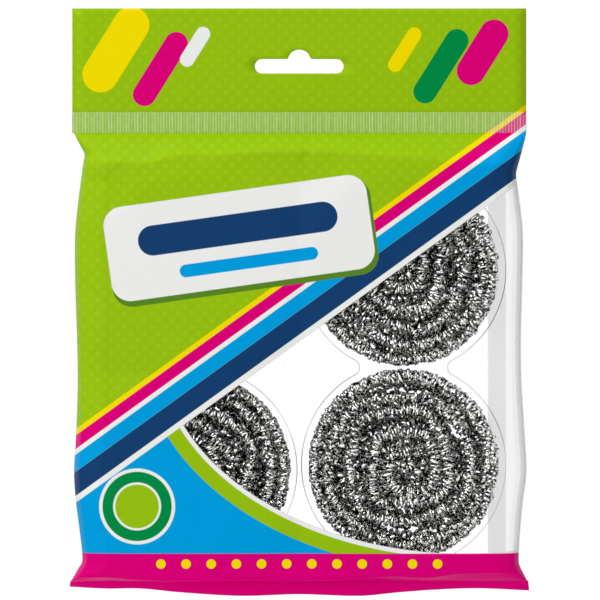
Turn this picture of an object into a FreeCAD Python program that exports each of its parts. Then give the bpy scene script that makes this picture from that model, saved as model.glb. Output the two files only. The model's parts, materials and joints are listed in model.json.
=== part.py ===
import FreeCAD, Part
import Sketcher
import math
import os

# Hanging pack of four wound steel pot scourers: a film bag with a header and hang slot, a clear formed tray
# with two figure-eight wells, and one scourer in each round of the wells.
# Frame: millimetres, +Z up, front of the pack towards -Y, +X to the right seen from the front.
# The origin is the middle of the hang slot's straight part, half way through the two plies.

SIZES = (
    ("film_thickness", 0.3, "one ply of the bag film"),
    ("header_rise", 20.8, "slot middle up to the top edge"),
    ("fold_drop", 16.5, "slot middle down to the fold line under the header"),
    ("slot_span", 32.0, "hang slot, end to end"),
    ("slot_height", 5.2, "hang slot, straight part"),
    ("hump_radius", 4.2, "round hump over the slot's middle"),
    ("hump_lift", 1.8, "hump centre above the slot's middle"),
    ("fold_gap", 0.85, "fold line to the top of the crimped seal"),
    ("crimp_height", 7.4, "fold line to the bottom of the crimped seal"),
    ("rib_pitch", 3.13, "step of the crimp's ribs"),
    ("rib_width", 1.5, "width of one rib"),
    ("rib_height", 0.2, "rib proud of the sealed plies"),
    ("rib_inset", 0.5, "ribs stop short of the crimp's top edge"),
    ("mouth_gap", 0.4, "space between the plies where the pouch opens"),
    ("mouth_flat", 0.05, "straight part left on a flattened end of the pouch"),
    ("neck_height", 12.2, "crimp down to the top shoulder"),
    ("base_height", 3.4, "bottom shoulder down to the bottom seal"),
    ("seal_height", 2.4, "bottom seal at its corners"),
    ("seal_bow", 2.4, "bottom edge hangs lower in the middle"),
    ("front_round", 10.0, "rounding of the pouch's long front edges"),
    ("back_round", 6.0, "rounding of the pouch's long back edges"),
    ("header_overhang", 0.85, "header past the pouch's side"),
    ("seal_overhang", 2.0, "bottom seal past the pouch's side"),
    ("shoulder_inset", 2.5, "pouch drawn in at its shoulders"),
    ("waist_inset", 1.0, "pouch drawn in at half height"),
    ("gusset_return", 8.0, "side film round onto the front and the back"),
    ("seam_width", 12.0, "folded fin seal on the back"),
    ("seam_thickness", 0.6, "folded fin seal on the back"),
    ("strand_diameter", 5.4, "curled strand of a scourer"),
    ("strand_gap", 0.6, "between neighbouring loops"),
    ("core_radius", 6.9, "innermost loop, at the strand's middle"),
    ("turns_per_layer", 4, "turns from the rim to the core"),
    ("layers", 4, "layers of loops, one behind the other"),
    ("climb_bulge_share", 0.15, "of the loop pitch: loops swing out where they climb a layer"),
    ("row_gap", 0.7, "between the scourers of one column"),
    ("well_clearance", 2.0, "scourer to the wall of its well"),
    ("waist_radius", 3.0, "rounding between the two rounds of a well"),
    ("well_web", 1.9, "between the two columns of wells"),
    ("column_drop", 1.8, "left column hangs this much lower"),
    ("tray_sheet", 0.4, "wall of the formed tray"),
    ("well_draft_angle", 4.0, "wells narrow towards the back, in degrees"),
    ("scourer_proud", 4.1, "scourers stand this far out of the tray"),
    ("flange_margin", 1.2, "flange past the wells"),
    ("seat_gap", 0.3, "film to tray, tray to scourer, scourer to film"),
    ("well_head_gap", 0.5, "wells to the pouch's shoulders"),
    ("side_gap", 5.0, "tray flange to the side film"),
    ("cut_overrun", 5.0, "cutting boxes reach past the film"),
)

DERIVED = (
    ("loop_pitch", "Sizes.strand_diameter + Sizes.strand_gap"),
    ("climb_bulge", "loop_pitch * Sizes.climb_bulge_share"),
    ("rim_loop_radius", "Sizes.core_radius + Sizes.turns_per_layer * loop_pitch"),
    ("scourer_radius", "rim_loop_radius + climb_bulge + Sizes.strand_diameter / 2"),
    ("scourer_height", "(Sizes.layers - 1) * loop_pitch + Sizes.strand_diameter"),
    ("well_radius", "scourer_radius + Sizes.well_clearance"),
    ("well_outer_radius", "well_radius + Sizes.tray_sheet"),
    ("waist_outer_radius", "Sizes.waist_radius - Sizes.tray_sheet"),
    ("row_pitch", "2 * scourer_radius + Sizes.row_gap"),
    ("waist_offset", "sqrt(pow(well_radius + Sizes.waist_radius; 2) - pow(row_pitch / 2; 2))"),
    ("column_x", "well_radius + Sizes.well_web / 2"),
    ("crimp_top_z", "-Sizes.fold_drop - Sizes.fold_gap"),
    ("crimp_bottom_z", "-Sizes.fold_drop - Sizes.crimp_height"),
    ("shoulder_z", "crimp_bottom_z - Sizes.neck_height"),
    ("upper_right_z", "shoulder_z - Sizes.well_head_gap - well_outer_radius"),
    ("lower_right_z", "upper_right_z - row_pitch"),
    ("upper_left_z", "upper_right_z - Sizes.column_drop"),
    ("lower_left_z", "lower_right_z - Sizes.column_drop"),
    ("upper_row_z", "(upper_left_z + upper_right_z) / 2"),
    ("lower_row_z", "(lower_left_z + lower_right_z) / 2"),
    ("waist_z", "(upper_row_z + lower_row_z) / 2"),
    ("base_z", "lower_left_z - well_outer_radius - Sizes.well_head_gap"),
    ("seal_top_z", "base_z - Sizes.base_height"),
    ("seal_corner_z", "seal_top_z - Sizes.seal_height"),
    ("half_depth", "(scourer_height + Sizes.tray_sheet + 3 * Sizes.seat_gap) / 2 + Sizes.film_thickness"),
    ("mouth_half_depth", "Sizes.mouth_gap / 2 + Sizes.film_thickness"),
    ("tray_back_y", "half_depth - Sizes.film_thickness - Sizes.seat_gap"),
    ("tray_depth", "scourer_height + Sizes.seat_gap + Sizes.tray_sheet - Sizes.scourer_proud"),
    ("flange_front_y", "tray_back_y - tray_depth"),
    ("scourer_y", "tray_back_y - Sizes.tray_sheet - Sizes.seat_gap - scourer_height / 2"),
    ("tray_half_width", "column_x + well_outer_radius + Sizes.flange_margin"),
    ("tray_top_z", "upper_right_z + well_outer_radius + Sizes.flange_margin"),
    ("tray_bottom_z", "lower_left_z - well_outer_radius - Sizes.flange_margin"),
    ("tray_corner", "well_outer_radius + Sizes.flange_margin"),
    ("body_half_width", "tray_half_width + Sizes.side_gap + Sizes.film_thickness"),
    ("header_half_width", "body_half_width + Sizes.header_overhang"),
    ("seal_half_width", "body_half_width + Sizes.seal_overhang"),
    ("shoulder_half_width", "body_half_width - Sizes.shoulder_inset"),
    ("waist_half_width", "body_half_width - Sizes.waist_inset"),
    ("panel_half_width", "shoulder_half_width - Sizes.gusset_return"),
)

RIGHT_ANGLE = 90
HALF_TURN_ANGLE = 180
FULL_TURN_ANGLE = 360
STEPS_PER_TURN = 4
GAP_POINTS_PER_ARC = 6
# How far each scourer is turned in its well, as a share of a full turn
TURN_SHARES = (0.55, 0.1, 0.3, 0.85)

doc = FreeCAD.newDocument("scourer_pack")


def fill_sheet(name, rows):
    """Make a spreadsheet of aliased cells: a plain number or a formula per row, with an optional note."""
    sheet = doc.addObject("Spreadsheet::Sheet", name)
    for number, row in enumerate(rows, start=1):
        cell = f"B{number}"
        sheet.set(f"A{number}", row[0])
        sheet.set(cell, str(row[1]))
        sheet.setAlias(cell, row[0])
        if len(row) > 2:
            sheet.set(f"C{number}", row[2])
    return sheet


sizes = fill_sheet("Sizes", SIZES)
fill_sheet("Derived", [(name, "=" + formula) for name, formula in DERIVED])
doc.recompute()


def value(expression):
    """The number that an expression on the sheets gives now."""
    result = sizes.evalExpression(expression)
    return float(getattr(result, "Value", result))


def new_body(name):
    body = doc.addObject("PartDesign::Body", name)
    body.Label = name
    return body


def new_sketch(body, name, plane, offset=None):
    """A sketch on one of the body's own origin planes, moved along that plane's normal by an expression."""
    sketch = body.newObject("Sketcher::SketchObject", name)
    support = next(feature for feature in body.Origin.OriginFeatures if feature.Role == plane)
    sketch.AttachmentSupport = [(support, "")]
    sketch.MapMode = "FlatFace"
    if offset:
        sketch.setExpression("AttachmentOffset.Base.z", offset)
    return sketch


def constrain(sketch, kind, references, expression):
    """Add a measured constraint and bind it to the sheets."""
    number = sketch.addConstraint(Sketcher.Constraint(kind, *references, value(expression)))
    sketch.setExpression(f"Constraints[{number}]", expression)


def pin(sketch, geometry, point, across=None, up=None):
    """Hold a point at expressions measured from the sketch's origin; "axis" puts it on the axis."""
    for kind, expression, axis in (("DistanceX", across, -2), ("DistanceY", up, -1)):
        if expression == "axis":
            sketch.addConstraint(Sketcher.Constraint("PointOnObject", geometry, point, axis))
        elif expression and value(expression) > 0:
            constrain(sketch, kind, (-1, 1, geometry, point), expression)
        elif expression:
            constrain(sketch, kind, (geometry, point, -1, 1), f"-({expression})")


def line(sketch, start, end):
    return sketch.addGeometry(Part.LineSegment(FreeCAD.Vector(*start), FreeCAD.Vector(*end)), False)


def arc(sketch, centre, radius, start, end):
    """An arc from the start angle to the end angle, counter-clockwise, in degrees."""
    circle = Part.Circle(FreeCAD.Vector(*centre), FreeCAD.Vector(0, 0, 1), radius)
    return sketch.addGeometry(Part.ArcOfCircle(circle, math.radians(start), math.radians(end)), False)


def join(sketch, kind, chain):
    """Join (geometry, point) pairs two by two."""
    for (first, first_point), (second, second_point) in chain:
        sketch.addConstraint(Sketcher.Constraint(kind, first, first_point, second, second_point))


def rounded_rectangle(sketch, half_width, low, high, low_corner, high_corner):
    """A rectangle about the sketch's vertical axis with rounded corners, all sizes as expressions."""
    wide, bottom, top = value(half_width), value(low), value(high)
    below, above = value(low_corner), value(high_corner)
    sides = [
        line(sketch, (below - wide, bottom, 0), (wide - below, bottom, 0)),
        arc(sketch, (wide - below, bottom + below, 0), below, -RIGHT_ANGLE, 0),
        line(sketch, (wide, bottom + below, 0), (wide, top - above, 0)),
        arc(sketch, (wide - above, top - above, 0), above, 0, RIGHT_ANGLE),
        line(sketch, (wide - above, top, 0), (above - wide, top, 0)),
        arc(sketch, (above - wide, top - above, 0), above, RIGHT_ANGLE, HALF_TURN_ANGLE),
        line(sketch, (-wide, top - above, 0), (-wide, bottom + below, 0)),
        arc(sketch, (below - wide, bottom + below, 0), below, -HALF_TURN_ANGLE, -RIGHT_ANGLE),
    ]
    join(sketch, "Tangent", [((a, 2), (b, 1)) for a, b in zip(sides, sides[1:] + sides[:1])])
    for kind, side in (("Horizontal", 0), ("Vertical", 2), ("Horizontal", 4), ("Vertical", 6)):
        sketch.addConstraint(Sketcher.Constraint(kind, sides[side]))
    sketch.addConstraint(Sketcher.Constraint("Equal", sides[1], sides[7]))
    sketch.addConstraint(Sketcher.Constraint("Equal", sides[3], sides[5]))
    constrain(sketch, "Radius", (sides[1],), low_corner)
    constrain(sketch, "Radius", (sides[3],), high_corner)
    pin(sketch, sides[0], 1, up=low)
    pin(sketch, sides[2], 1, across=half_width)
    pin(sketch, sides[4], 1, up=high)
    pin(sketch, sides[6], 1, across=f"-({half_width})")


def pad(body, name, sketch, length, midplane=False, reverse=False):
    feature = body.newObject("PartDesign::Pad", name)
    feature.Profile = sketch
    feature.setExpression("Length", length)
    feature.Midplane = midplane
    feature.Reversed = reverse
    return feature


def pocket(body, name, sketch, length, midplane=False, reverse=False):
    """Cut the sketch into the body, and refuse a cut that takes nothing away."""
    doc.recompute()
    before = body.Shape.Volume
    feature = body.newObject("PartDesign::Pocket", name)
    feature.Profile = sketch
    feature.setExpression("Length", length)
    feature.Midplane = midplane
    feature.Reversed = reverse
    doc.recompute()
    if body.Shape.Volume >= before:
        raise RuntimeError(f"{name} cuts nothing")
    return feature


def slot_outline(sketch):
    """Hang slot: straight with round ends, and a round hump over its middle for the peg."""
    half_height = value("Sizes.slot_height / 2")
    end_x = value("Sizes.slot_span / 2") - half_height
    hump, lift = value("Sizes.hump_radius"), value("Sizes.hump_lift")
    hump_x = math.sqrt(hump ** 2 - (half_height - lift) ** 2)
    hump_angle = math.degrees(math.asin((half_height - lift) / hump))
    bottom = line(sketch, (-end_x, -half_height, 0), (end_x, -half_height, 0))
    right = arc(sketch, (end_x, 0, 0), half_height, -RIGHT_ANGLE, RIGHT_ANGLE)
    top_right = line(sketch, (end_x, half_height, 0), (hump_x, half_height, 0))
    middle = arc(sketch, (0, lift, 0), hump, hump_angle, HALF_TURN_ANGLE - hump_angle)
    top_left = line(sketch, (-hump_x, half_height, 0), (-end_x, half_height, 0))
    left = arc(sketch, (-end_x, 0, 0), half_height, RIGHT_ANGLE, HALF_TURN_ANGLE + RIGHT_ANGLE)
    join(sketch, "Tangent", (
        ((bottom, 2), (right, 1)), ((right, 2), (top_right, 1)),
        ((top_left, 2), (left, 1)), ((left, 2), (bottom, 1))))
    join(sketch, "Coincident", (((top_right, 2), (middle, 1)), ((middle, 2), (top_left, 1))))
    for side in (bottom, top_right, top_left):
        sketch.addConstraint(Sketcher.Constraint("Horizontal", side))
    end_expression = "Sizes.slot_span / 2 - Sizes.slot_height / 2"
    pin(sketch, right, 3, across=end_expression, up="axis")
    pin(sketch, left, 3, across=f"-({end_expression})", up="axis")
    pin(sketch, middle, 3, across="axis", up="Sizes.hump_lift")
    constrain(sketch, "Radius", (right,), "Sizes.slot_height / 2")
    constrain(sketch, "Radius", (middle,), "Sizes.hump_radius")


def header_ply(name, side):
    """One film ply of the header, rounded about the fold line at its lower end; side is -1 for the front."""
    body = new_body(name)
    profile = new_sketch(body, name + "_profile", "YZ_Plane")
    film, fold, top = value("Sizes.film_thickness"), -value("Sizes.fold_drop"), value("Sizes.header_rise")
    outer = side * film
    start_angle = -HALF_TURN_ANGLE if side < 0 else -RIGHT_ANGLE
    end = arc(profile, (0, fold, 0), film, start_angle, start_angle + RIGHT_ANGLE)
    at_face, at_middle = (1, 2) if side < 0 else (2, 1)
    face = line(profile, (outer, fold, 0), (outer, top, 0))
    edge = line(profile, (outer, top, 0), (0, top, 0))
    middle = line(profile, (0, top, 0), (0, fold - film, 0))
    join(profile, "Coincident", (
        ((end, at_face), (face, 1)), ((face, 2), (edge, 1)),
        ((edge, 2), (middle, 1)), ((middle, 2), (end, at_middle))))
    for kind, part in (("Vertical", face), ("Horizontal", edge), ("Vertical", middle)):
        profile.addConstraint(Sketcher.Constraint(kind, part))
    pin(profile, end, 3, across="axis", up="-Sizes.fold_drop")
    pin(profile, end, at_middle, across="axis")
    pin(profile, face, 1, up="-Sizes.fold_drop")
    pin(profile, edge, 1, up="Sizes.header_rise")
    constrain(profile, "Radius", (end,), "Sizes.film_thickness")
    pad(body, name + "_film", profile, "2 * Derived.header_half_width", midplane=True)
    slot = new_sketch(body, name + "_slot", "XZ_Plane")
    slot_outline(slot)
    pocket(body, name + "_slot_cut", slot, "4 * Sizes.film_thickness", midplane=True)
    return body


def rectangle(sketch, left, right, low, high):
    """A plain rectangle, all four sides as expressions."""
    west, east, south, north = value(left), value(right), value(low), value(high)
    sides = [
        line(sketch, (west, south, 0), (east, south, 0)),
        line(sketch, (east, south, 0), (east, north, 0)),
        line(sketch, (east, north, 0), (west, north, 0)),
        line(sketch, (west, north, 0), (west, south, 0)),
    ]
    join(sketch, "Coincident", [((a, 2), (b, 1)) for a, b in zip(sides, sides[1:] + sides[:1])])
    for number, side in enumerate(sides):
        sketch.addConstraint(Sketcher.Constraint("Vertical" if number % 2 else "Horizontal", side))
    pin(sketch, sides[0], 1, across=left, up=low)
    pin(sketch, sides[2], 1, across=right, up=high)


def crimp_seal():
    """The sealed plies under the fold line, pressed into upright ribs on both faces."""
    body = new_body("crimp_seal")
    band = new_sketch(body, "crimp_band", "XZ_Plane")
    rectangle(band, "-Derived.header_half_width", "Derived.header_half_width",
              "Derived.crimp_bottom_z", "Derived.crimp_top_z")
    pad(body, "crimp_plies", band, "2 * Sizes.film_thickness", midplane=True)
    count = int(value("2 * Derived.header_half_width") // value("Sizes.rib_pitch"))
    first = f"-Sizes.rib_pitch * {count - 1} / 2"
    rib = new_sketch(body, "crimp_rib", "XZ_Plane")
    rectangle(rib, f"{first} - Sizes.rib_width / 2", f"{first} + Sizes.rib_width / 2",
              "Derived.crimp_bottom_z", "Derived.crimp_top_z - Sizes.rib_inset")
    ridge = pad(body, "crimp_ridge", rib, "2 * Sizes.film_thickness + 2 * Sizes.rib_height", midplane=True)
    doc.recompute()
    pattern = body.newObject("PartDesign::LinearPattern", "crimp_ridges")
    pattern.Originals = [ridge]
    pattern.Direction = (rib, ["H_Axis"])
    pattern.setExpression("Length", f"Sizes.rib_pitch * {count - 1}")
    pattern.Occurrences = count
    body.Tip = pattern
    return body


def pouch_shell():
    """The film of the pouch: a ruled loft from the crimp over shoulder, bellies and waist to the base."""
    body = new_body("pouch_shell")
    film = "Sizes.film_thickness"
    mouth_round = "Derived.mouth_half_depth - Sizes.mouth_flat"
    front_round, back_round = "Sizes.front_round", "Sizes.back_round"
    # name, half width, half depth, front and back rounding, height, height of the inner face's section
    stations = (
        ("mouth", "Derived.header_half_width", "Derived.mouth_half_depth", mouth_round, mouth_round,
         "Derived.crimp_bottom_z", "Derived.crimp_bottom_z"),
        ("shoulder", "Derived.shoulder_half_width", "Derived.half_depth", front_round, back_round,
         "Derived.shoulder_z", f"Derived.shoulder_z - {film}"),
        ("upper_belly", "Derived.body_half_width", "Derived.half_depth", front_round, back_round,
         "Derived.upper_row_z", "Derived.upper_row_z"),
        ("waist", "Derived.waist_half_width", "Derived.half_depth", front_round, back_round,
         "Derived.waist_z", "Derived.waist_z"),
        ("lower_belly", "Derived.body_half_width", "Derived.half_depth", front_round, back_round,
         "Derived.lower_row_z", "Derived.lower_row_z"),
        ("base", "Derived.shoulder_half_width", "Derived.half_depth", front_round, back_round,
         "Derived.base_z", f"Derived.base_z + {film}"),
        ("foot", "Derived.seal_half_width", "Derived.mouth_half_depth", mouth_round, mouth_round,
         "Derived.seal_top_z", "Derived.seal_top_z"),
    )
    for face, kind, inset in (("outer", "AdditiveLoft", "0"), ("inner", "SubtractiveLoft", film)):
        sections = []
        for name, half_width, half_depth, front, back, height, inner_height in stations:
            level = height if face == "outer" else inner_height
            section = new_sketch(body, f"{face}_{name}", "XY_Plane", level)
            rounded_rectangle(section, f"{half_width} - {inset}", f"-({half_depth} - {inset})",
                              f"{half_depth} - {inset}", f"{front} - {inset}", f"{back} - {inset}")
            sections.append(section)
        doc.recompute()
        loft = body.newObject(f"PartDesign::{kind}", f"{face}_film")
        loft.Profile = sections[0]
        loft.Sections = sections[1:]
        loft.Ruled = True
        doc.recompute()
    return body


def cutting_box(name, low_x, high_x, low_y, high_y):
    """A box over the pouch's whole height, for parting the film into its panels."""
    box = doc.addObject("Part::Box", name)
    box.setExpression("Length", f"({high_x}) - ({low_x})")
    box.setExpression("Width", f"({high_y}) - ({low_y})")
    box.setExpression("Height", "Derived.crimp_bottom_z - Derived.seal_top_z + 2 * Sizes.cut_overrun")
    box.setExpression("Placement.Base.x", low_x)
    box.setExpression("Placement.Base.y", low_y)
    box.setExpression("Placement.Base.z", "Derived.seal_top_z - Sizes.cut_overrun")
    return box


def pouch_panels():
    """The pouch's film parted into front, back and the two folded sides."""
    shell = pouch_shell()
    inside, reach = "Derived.panel_half_width", "(Derived.seal_half_width + Sizes.cut_overrun)"
    depth = "(Derived.half_depth + Sizes.cut_overrun)"
    cuts = (
        ("front_panel", f"-{inside}", inside, f"-{depth}", "0"),
        ("back_panel", f"-{inside}", inside, "0", depth),
        ("left_gusset", f"-{reach}", f"-{inside}", f"-{depth}", depth),
        ("right_gusset", inside, reach, f"-{depth}", depth),
    )
    panels = []
    for name, *limits in cuts:
        panel = doc.addObject("Part::Common", name)
        panel.Label = name
        panel.Base = shell
        panel.Tool = cutting_box(name + "_box", *limits)
        panels.append(panel)
    return panels


def bottom_seal():
    """The two plies sealed flat along the bottom, with a lower edge that hangs in a shallow bow."""
    body = new_body("bottom_seal")
    sketch = new_sketch(body, "bottom_seal_outline", "XZ_Plane")
    wide, bow = value("Derived.seal_half_width"), value("Sizes.seal_bow")
    top, corner = value("Derived.seal_top_z"), value("Derived.seal_corner_z")
    radius = (wide ** 2 + bow ** 2) / (2 * bow)
    spread_angle = math.degrees(math.asin(wide / radius))
    upper = line(sketch, (wide, top, 0), (-wide, top, 0))
    left = line(sketch, (-wide, top, 0), (-wide, corner, 0))
    centre = (0, corner - bow + radius, 0)
    lower = arc(sketch, centre, radius, -RIGHT_ANGLE - spread_angle, -RIGHT_ANGLE + spread_angle)
    right = line(sketch, (wide, corner, 0), (wide, top, 0))
    join(sketch, "Coincident", (
        ((upper, 2), (left, 1)), ((left, 2), (lower, 1)), ((lower, 2), (right, 1)), ((right, 2), (upper, 1))))
    for kind, side in (("Horizontal", upper), ("Vertical", left), ("Vertical", right)):
        sketch.addConstraint(Sketcher.Constraint(kind, side))
    pin(sketch, upper, 1, across="Derived.seal_half_width", up="Derived.seal_top_z")
    pin(sketch, left, 2, across="-Derived.seal_half_width", up="Derived.seal_corner_z")
    pin(sketch, lower, 3, across="axis")
    constrain(sketch, "Radius", (lower,),
              "(pow(Derived.seal_half_width; 2) + pow(Sizes.seal_bow; 2)) / (2 * Sizes.seal_bow)")
    pad(body, "bottom_seal_plies", sketch, "2 * Derived.mouth_half_depth", midplane=True)
    return body


def back_seam():
    """The fin seal of the film tube, folded flat on the back between the shoulders."""
    seam = doc.addObject("Part::Box", "back_seam")
    seam.Label = "back_seam"
    seam.setExpression("Length", "Sizes.seam_width")
    seam.setExpression("Width", "Sizes.seam_thickness")
    seam.setExpression("Height", "Derived.shoulder_z - Derived.base_z")
    seam.setExpression("Placement.Base.x", "-Sizes.seam_width / 2")
    seam.setExpression("Placement.Base.y", "Derived.half_depth")
    seam.setExpression("Placement.Base.z", "Derived.base_z")
    return seam


def well_outline(sketch, column, upper_z, lower_z, radius, waist):
    """Two rounds, one above the other, joined by a rounded waist; every argument is an expression."""
    x, high, low = value(column), value(upper_z), value(lower_z)
    offset, big, small = value("Derived.waist_offset"), value(radius), value(waist)
    middle = (high + low) / 2
    lean_angle = math.degrees(math.atan2(high - middle, offset))
    upper = arc(sketch, (x, high, 0), big, -lean_angle, HALF_TURN_ANGLE + lean_angle)
    lower = arc(sketch, (x, low, 0), big, HALF_TURN_ANGLE - lean_angle, FULL_TURN_ANGLE + lean_angle)
    left = arc(sketch, (x - offset, middle, 0), small, -lean_angle, lean_angle)
    right = arc(sketch, (x + offset, middle, 0), small, HALF_TURN_ANGLE - lean_angle,
                HALF_TURN_ANGLE + lean_angle)
    join(sketch, "Tangent", (
        ((upper, 1), (right, 1)), ((upper, 2), (left, 2)), ((lower, 1), (left, 1)), ((lower, 2), (right, 2))))
    pin(sketch, upper, 3, across=column, up=upper_z)
    pin(sketch, lower, 3, across=column, up=lower_z)
    constrain(sketch, "Radius", (upper,), radius)
    constrain(sketch, "Radius", (right,), waist)
    sketch.addConstraint(Sketcher.Constraint("Equal", upper, lower))
    sketch.addConstraint(Sketcher.Constraint("Equal", left, right))


def tray():
    """The formed tray: a flange with rounded corners and two figure-eight wells that open to the front."""
    body = new_body("tray")
    flange = new_sketch(body, "tray_flange", "XZ_Plane", "-Derived.flange_front_y")
    rounded_rectangle(flange, "Derived.tray_half_width", "Derived.tray_bottom_z", "Derived.tray_top_z",
                      "Derived.tray_corner", "Derived.tray_corner")
    pad(body, "tray_rim", flange, "Sizes.tray_sheet", reverse=True)
    columns = (
        ("left", "-Derived.column_x", "Derived.upper_left_z", "Derived.lower_left_z"),
        ("right", "Derived.column_x", "Derived.upper_right_z", "Derived.lower_right_z"),
    )
    for side, x, upper_z, lower_z in columns:
        wall = new_sketch(body, f"{side}_wall", "XZ_Plane", "-Derived.flange_front_y")
        well_outline(wall, x, upper_z, lower_z, "Derived.well_outer_radius", "Derived.waist_outer_radius")
        cup = pad(body, f"{side}_cup", wall, "Derived.tray_depth", reverse=True)
        cup.setExpression("TaperAngle", "-Sizes.well_draft_angle")
    for side, x, upper_z, lower_z in columns:
        hollow = new_sketch(body, f"{side}_hollow", "XZ_Plane", "-Derived.flange_front_y")
        well_outline(hollow, x, upper_z, lower_z, "Derived.well_radius", "Sizes.waist_radius")
        well = pocket(body, f"{side}_well", hollow, "Derived.tray_depth - Sizes.tray_sheet")
        well.setExpression("TaperAngle", "-Sizes.well_draft_angle")
    return body


def strand_path():
    """Points and directions of a strand every quarter turn, in the scourer's own frame with its axis along Z.

    The strand spirals in from the rim and out again at a steady rate, layer by layer, and climbs a layer in
    the half turn where the spiral reverses.
    """
    core, rim = value("Sizes.core_radius"), value("Derived.rim_loop_radius")
    pitch, bulge = value("Derived.loop_pitch"), value("Derived.climb_bulge")
    turns, layers = value("Sizes.turns_per_layer"), int(value("Sizes.layers"))
    climb = 0.5
    total = layers * turns + (layers - 1) * climb

    def place(turn):
        layer = min(int(turn / (turns + climb)), layers - 1)
        along = turn - layer * (turns + climb)
        inward = layer % 2 == 0
        start, end = (rim, core) if inward else (core, rim)
        if along <= turns:
            radius, level = start + (end - start) * along / turns, layer
        else:
            share = (along - turns) / climb
            swing = bulge * math.sin(math.pi * share)
            radius = end - swing if inward else end + swing
            level = layer + (1 - math.cos(math.pi * share)) / 2
        angle = 2 * math.pi * turn
        height = (level - (layers - 1) / 2) * pitch
        return FreeCAD.Vector(radius * math.cos(angle), radius * math.sin(angle), height)

    count = round(total * STEPS_PER_TURN)
    turn_list = [total * step / count for step in range(count + 1)]
    nudge = 1 / (STEPS_PER_TURN * 100)
    path = []
    for turn in turn_list:
        before, after = place(max(turn - nudge, 0)), place(min(turn + nudge, total))
        path.append((place(turn), (after - before).normalize()))
    return path


def biarc(start, start_way, end, end_way):
    """Two arcs that leave start along start_way and reach end along end_way."""
    chord = end - start
    both = start_way + end_way
    square = 2 * (1 - start_way.dot(end_way))
    middle = chord.dot(both)
    reach = (math.sqrt(middle ** 2 + square * chord.dot(chord)) - middle) / square
    first, last = start + start_way * reach, end - end_way * reach
    meet = (first + last) * 0.5
    edges = []
    for a, corner, b in ((start, first, meet), (meet, last, end)):
        away = ((a + b) * 0.5 - corner).normalize()
        half_chord = (b - a).Length / 2
        lift = (a - corner).Length
        radius = lift * half_chord / math.sqrt(lift ** 2 - half_chord ** 2)
        top = corner + away * (math.sqrt(radius ** 2 + lift ** 2) - radius)
        edges.append(Part.Arc(a, top, b).toShape())
    return edges


def least_gap(edges, diameter):
    """Least space between stretches of the strand that are more than two diameters apart along it."""
    samples, run = [], 0.0
    for edge in edges:
        step = edge.Length / GAP_POINTS_PER_ARC
        for point in edge.discretize(GAP_POINTS_PER_ARC + 1)[:-1]:
            samples.append((run, point.x, point.y, point.z))
            run += step
    least = math.inf
    for number, (at, x, y, z) in enumerate(samples):
        for other_at, other_x, other_y, other_z in samples[number + 1:]:
            if other_at - at > 2 * diameter:
                least = min(least, (other_x - x) ** 2 + (other_y - y) ** 2 + (other_z - z) ** 2)
    return math.sqrt(least) - diameter


def scourers():
    """Four scourers, each one unbroken strand, turned a little from one another in their wells."""
    path = strand_path()
    edges = []
    for (start, start_way), (end, end_way) in zip(path, path[1:]):
        edges += biarc(start, start_way, end, end_way)
    diameter = value("Sizes.strand_diameter")
    tightest = min(edge.Curve.Radius for edge in edges)
    print(f"strand {sum(edge.Length for edge in edges):.0f} mm long, tightest turn {tightest:.2f} mm radius,"
          f" least gap to itself {least_gap(edges, diameter):.2f} mm")
    lay_flat = FreeCAD.Rotation(FreeCAD.Vector(1, 0, 0), RIGHT_ANGLE)
    places = (
        ("scourer_upper_left", "-Derived.column_x", "Derived.upper_left_z"),
        ("scourer_upper_right", "Derived.column_x", "Derived.upper_right_z"),
        ("scourer_lower_left", "-Derived.column_x", "Derived.lower_left_z"),
        ("scourer_lower_right", "Derived.column_x", "Derived.lower_right_z"),
    )
    made = []
    for (name, x, z), turn_share in zip(places, TURN_SHARES):
        centre = FreeCAD.Vector(value(x), value("Derived.scourer_y"), value(z))
        turn = lay_flat.multiply(FreeCAD.Rotation(FreeCAD.Vector(0, 0, 1), turn_share * FULL_TURN_ANGLE))
        spot = FreeCAD.Placement(centre, turn)
        spine = doc.addObject("Part::Feature", name + "_path")
        spine.Shape = Part.Wire(edges)
        spine.Placement = spot
        start, way = path[0]
        section = doc.addObject("Part::Circle", name + "_section")
        section.setExpression("Radius", "Sizes.strand_diameter / 2")
        square_to_path = FreeCAD.Rotation(FreeCAD.Vector(0, 0, 1), way)
        section.Placement = spot.multiply(FreeCAD.Placement(start, square_to_path))
        strand = doc.addObject("Part::Sweep", name)
        strand.Label = name
        strand.Sections = [section]
        strand.Spine = (spine, [f"Edge{number + 1}" for number in range(len(edges))])
        strand.Solid = True
        strand.Frenet = False
        made.append(strand)
    return made


parts = [header_ply("header_front_ply", -1), header_ply("header_back_ply", 1), crimp_seal()]
parts += pouch_panels()
parts += [bottom_seal(), back_seam(), tray()]
parts += scourers()
doc.recompute()

for item in doc.Objects:
    if "Invalid" in item.State or "Error" in item.State:
        raise RuntimeError(f"{item.Label} failed: {item.State}")
for part in parts:
    if part.Shape.isNull() or not part.Shape.isValid() or not part.Shape.Solids:
        raise RuntimeError(f"{part.Label} has no valid solid")

os.makedirs("parts", exist_ok=True)
for part in parts:
    part.Shape.exportStep(f"parts/{part.Label}.step")
    print(f"{part.Label}: {len(part.Shape.Solids)} solid, {part.Shape.Volume:.0f} mm3")
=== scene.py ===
import json
import math
import random

import bmesh
import bpy
from bpy.props import FloatProperty, FloatVectorProperty, IntProperty, PointerProperty
from mathutils import Matrix, Vector, noise


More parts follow.
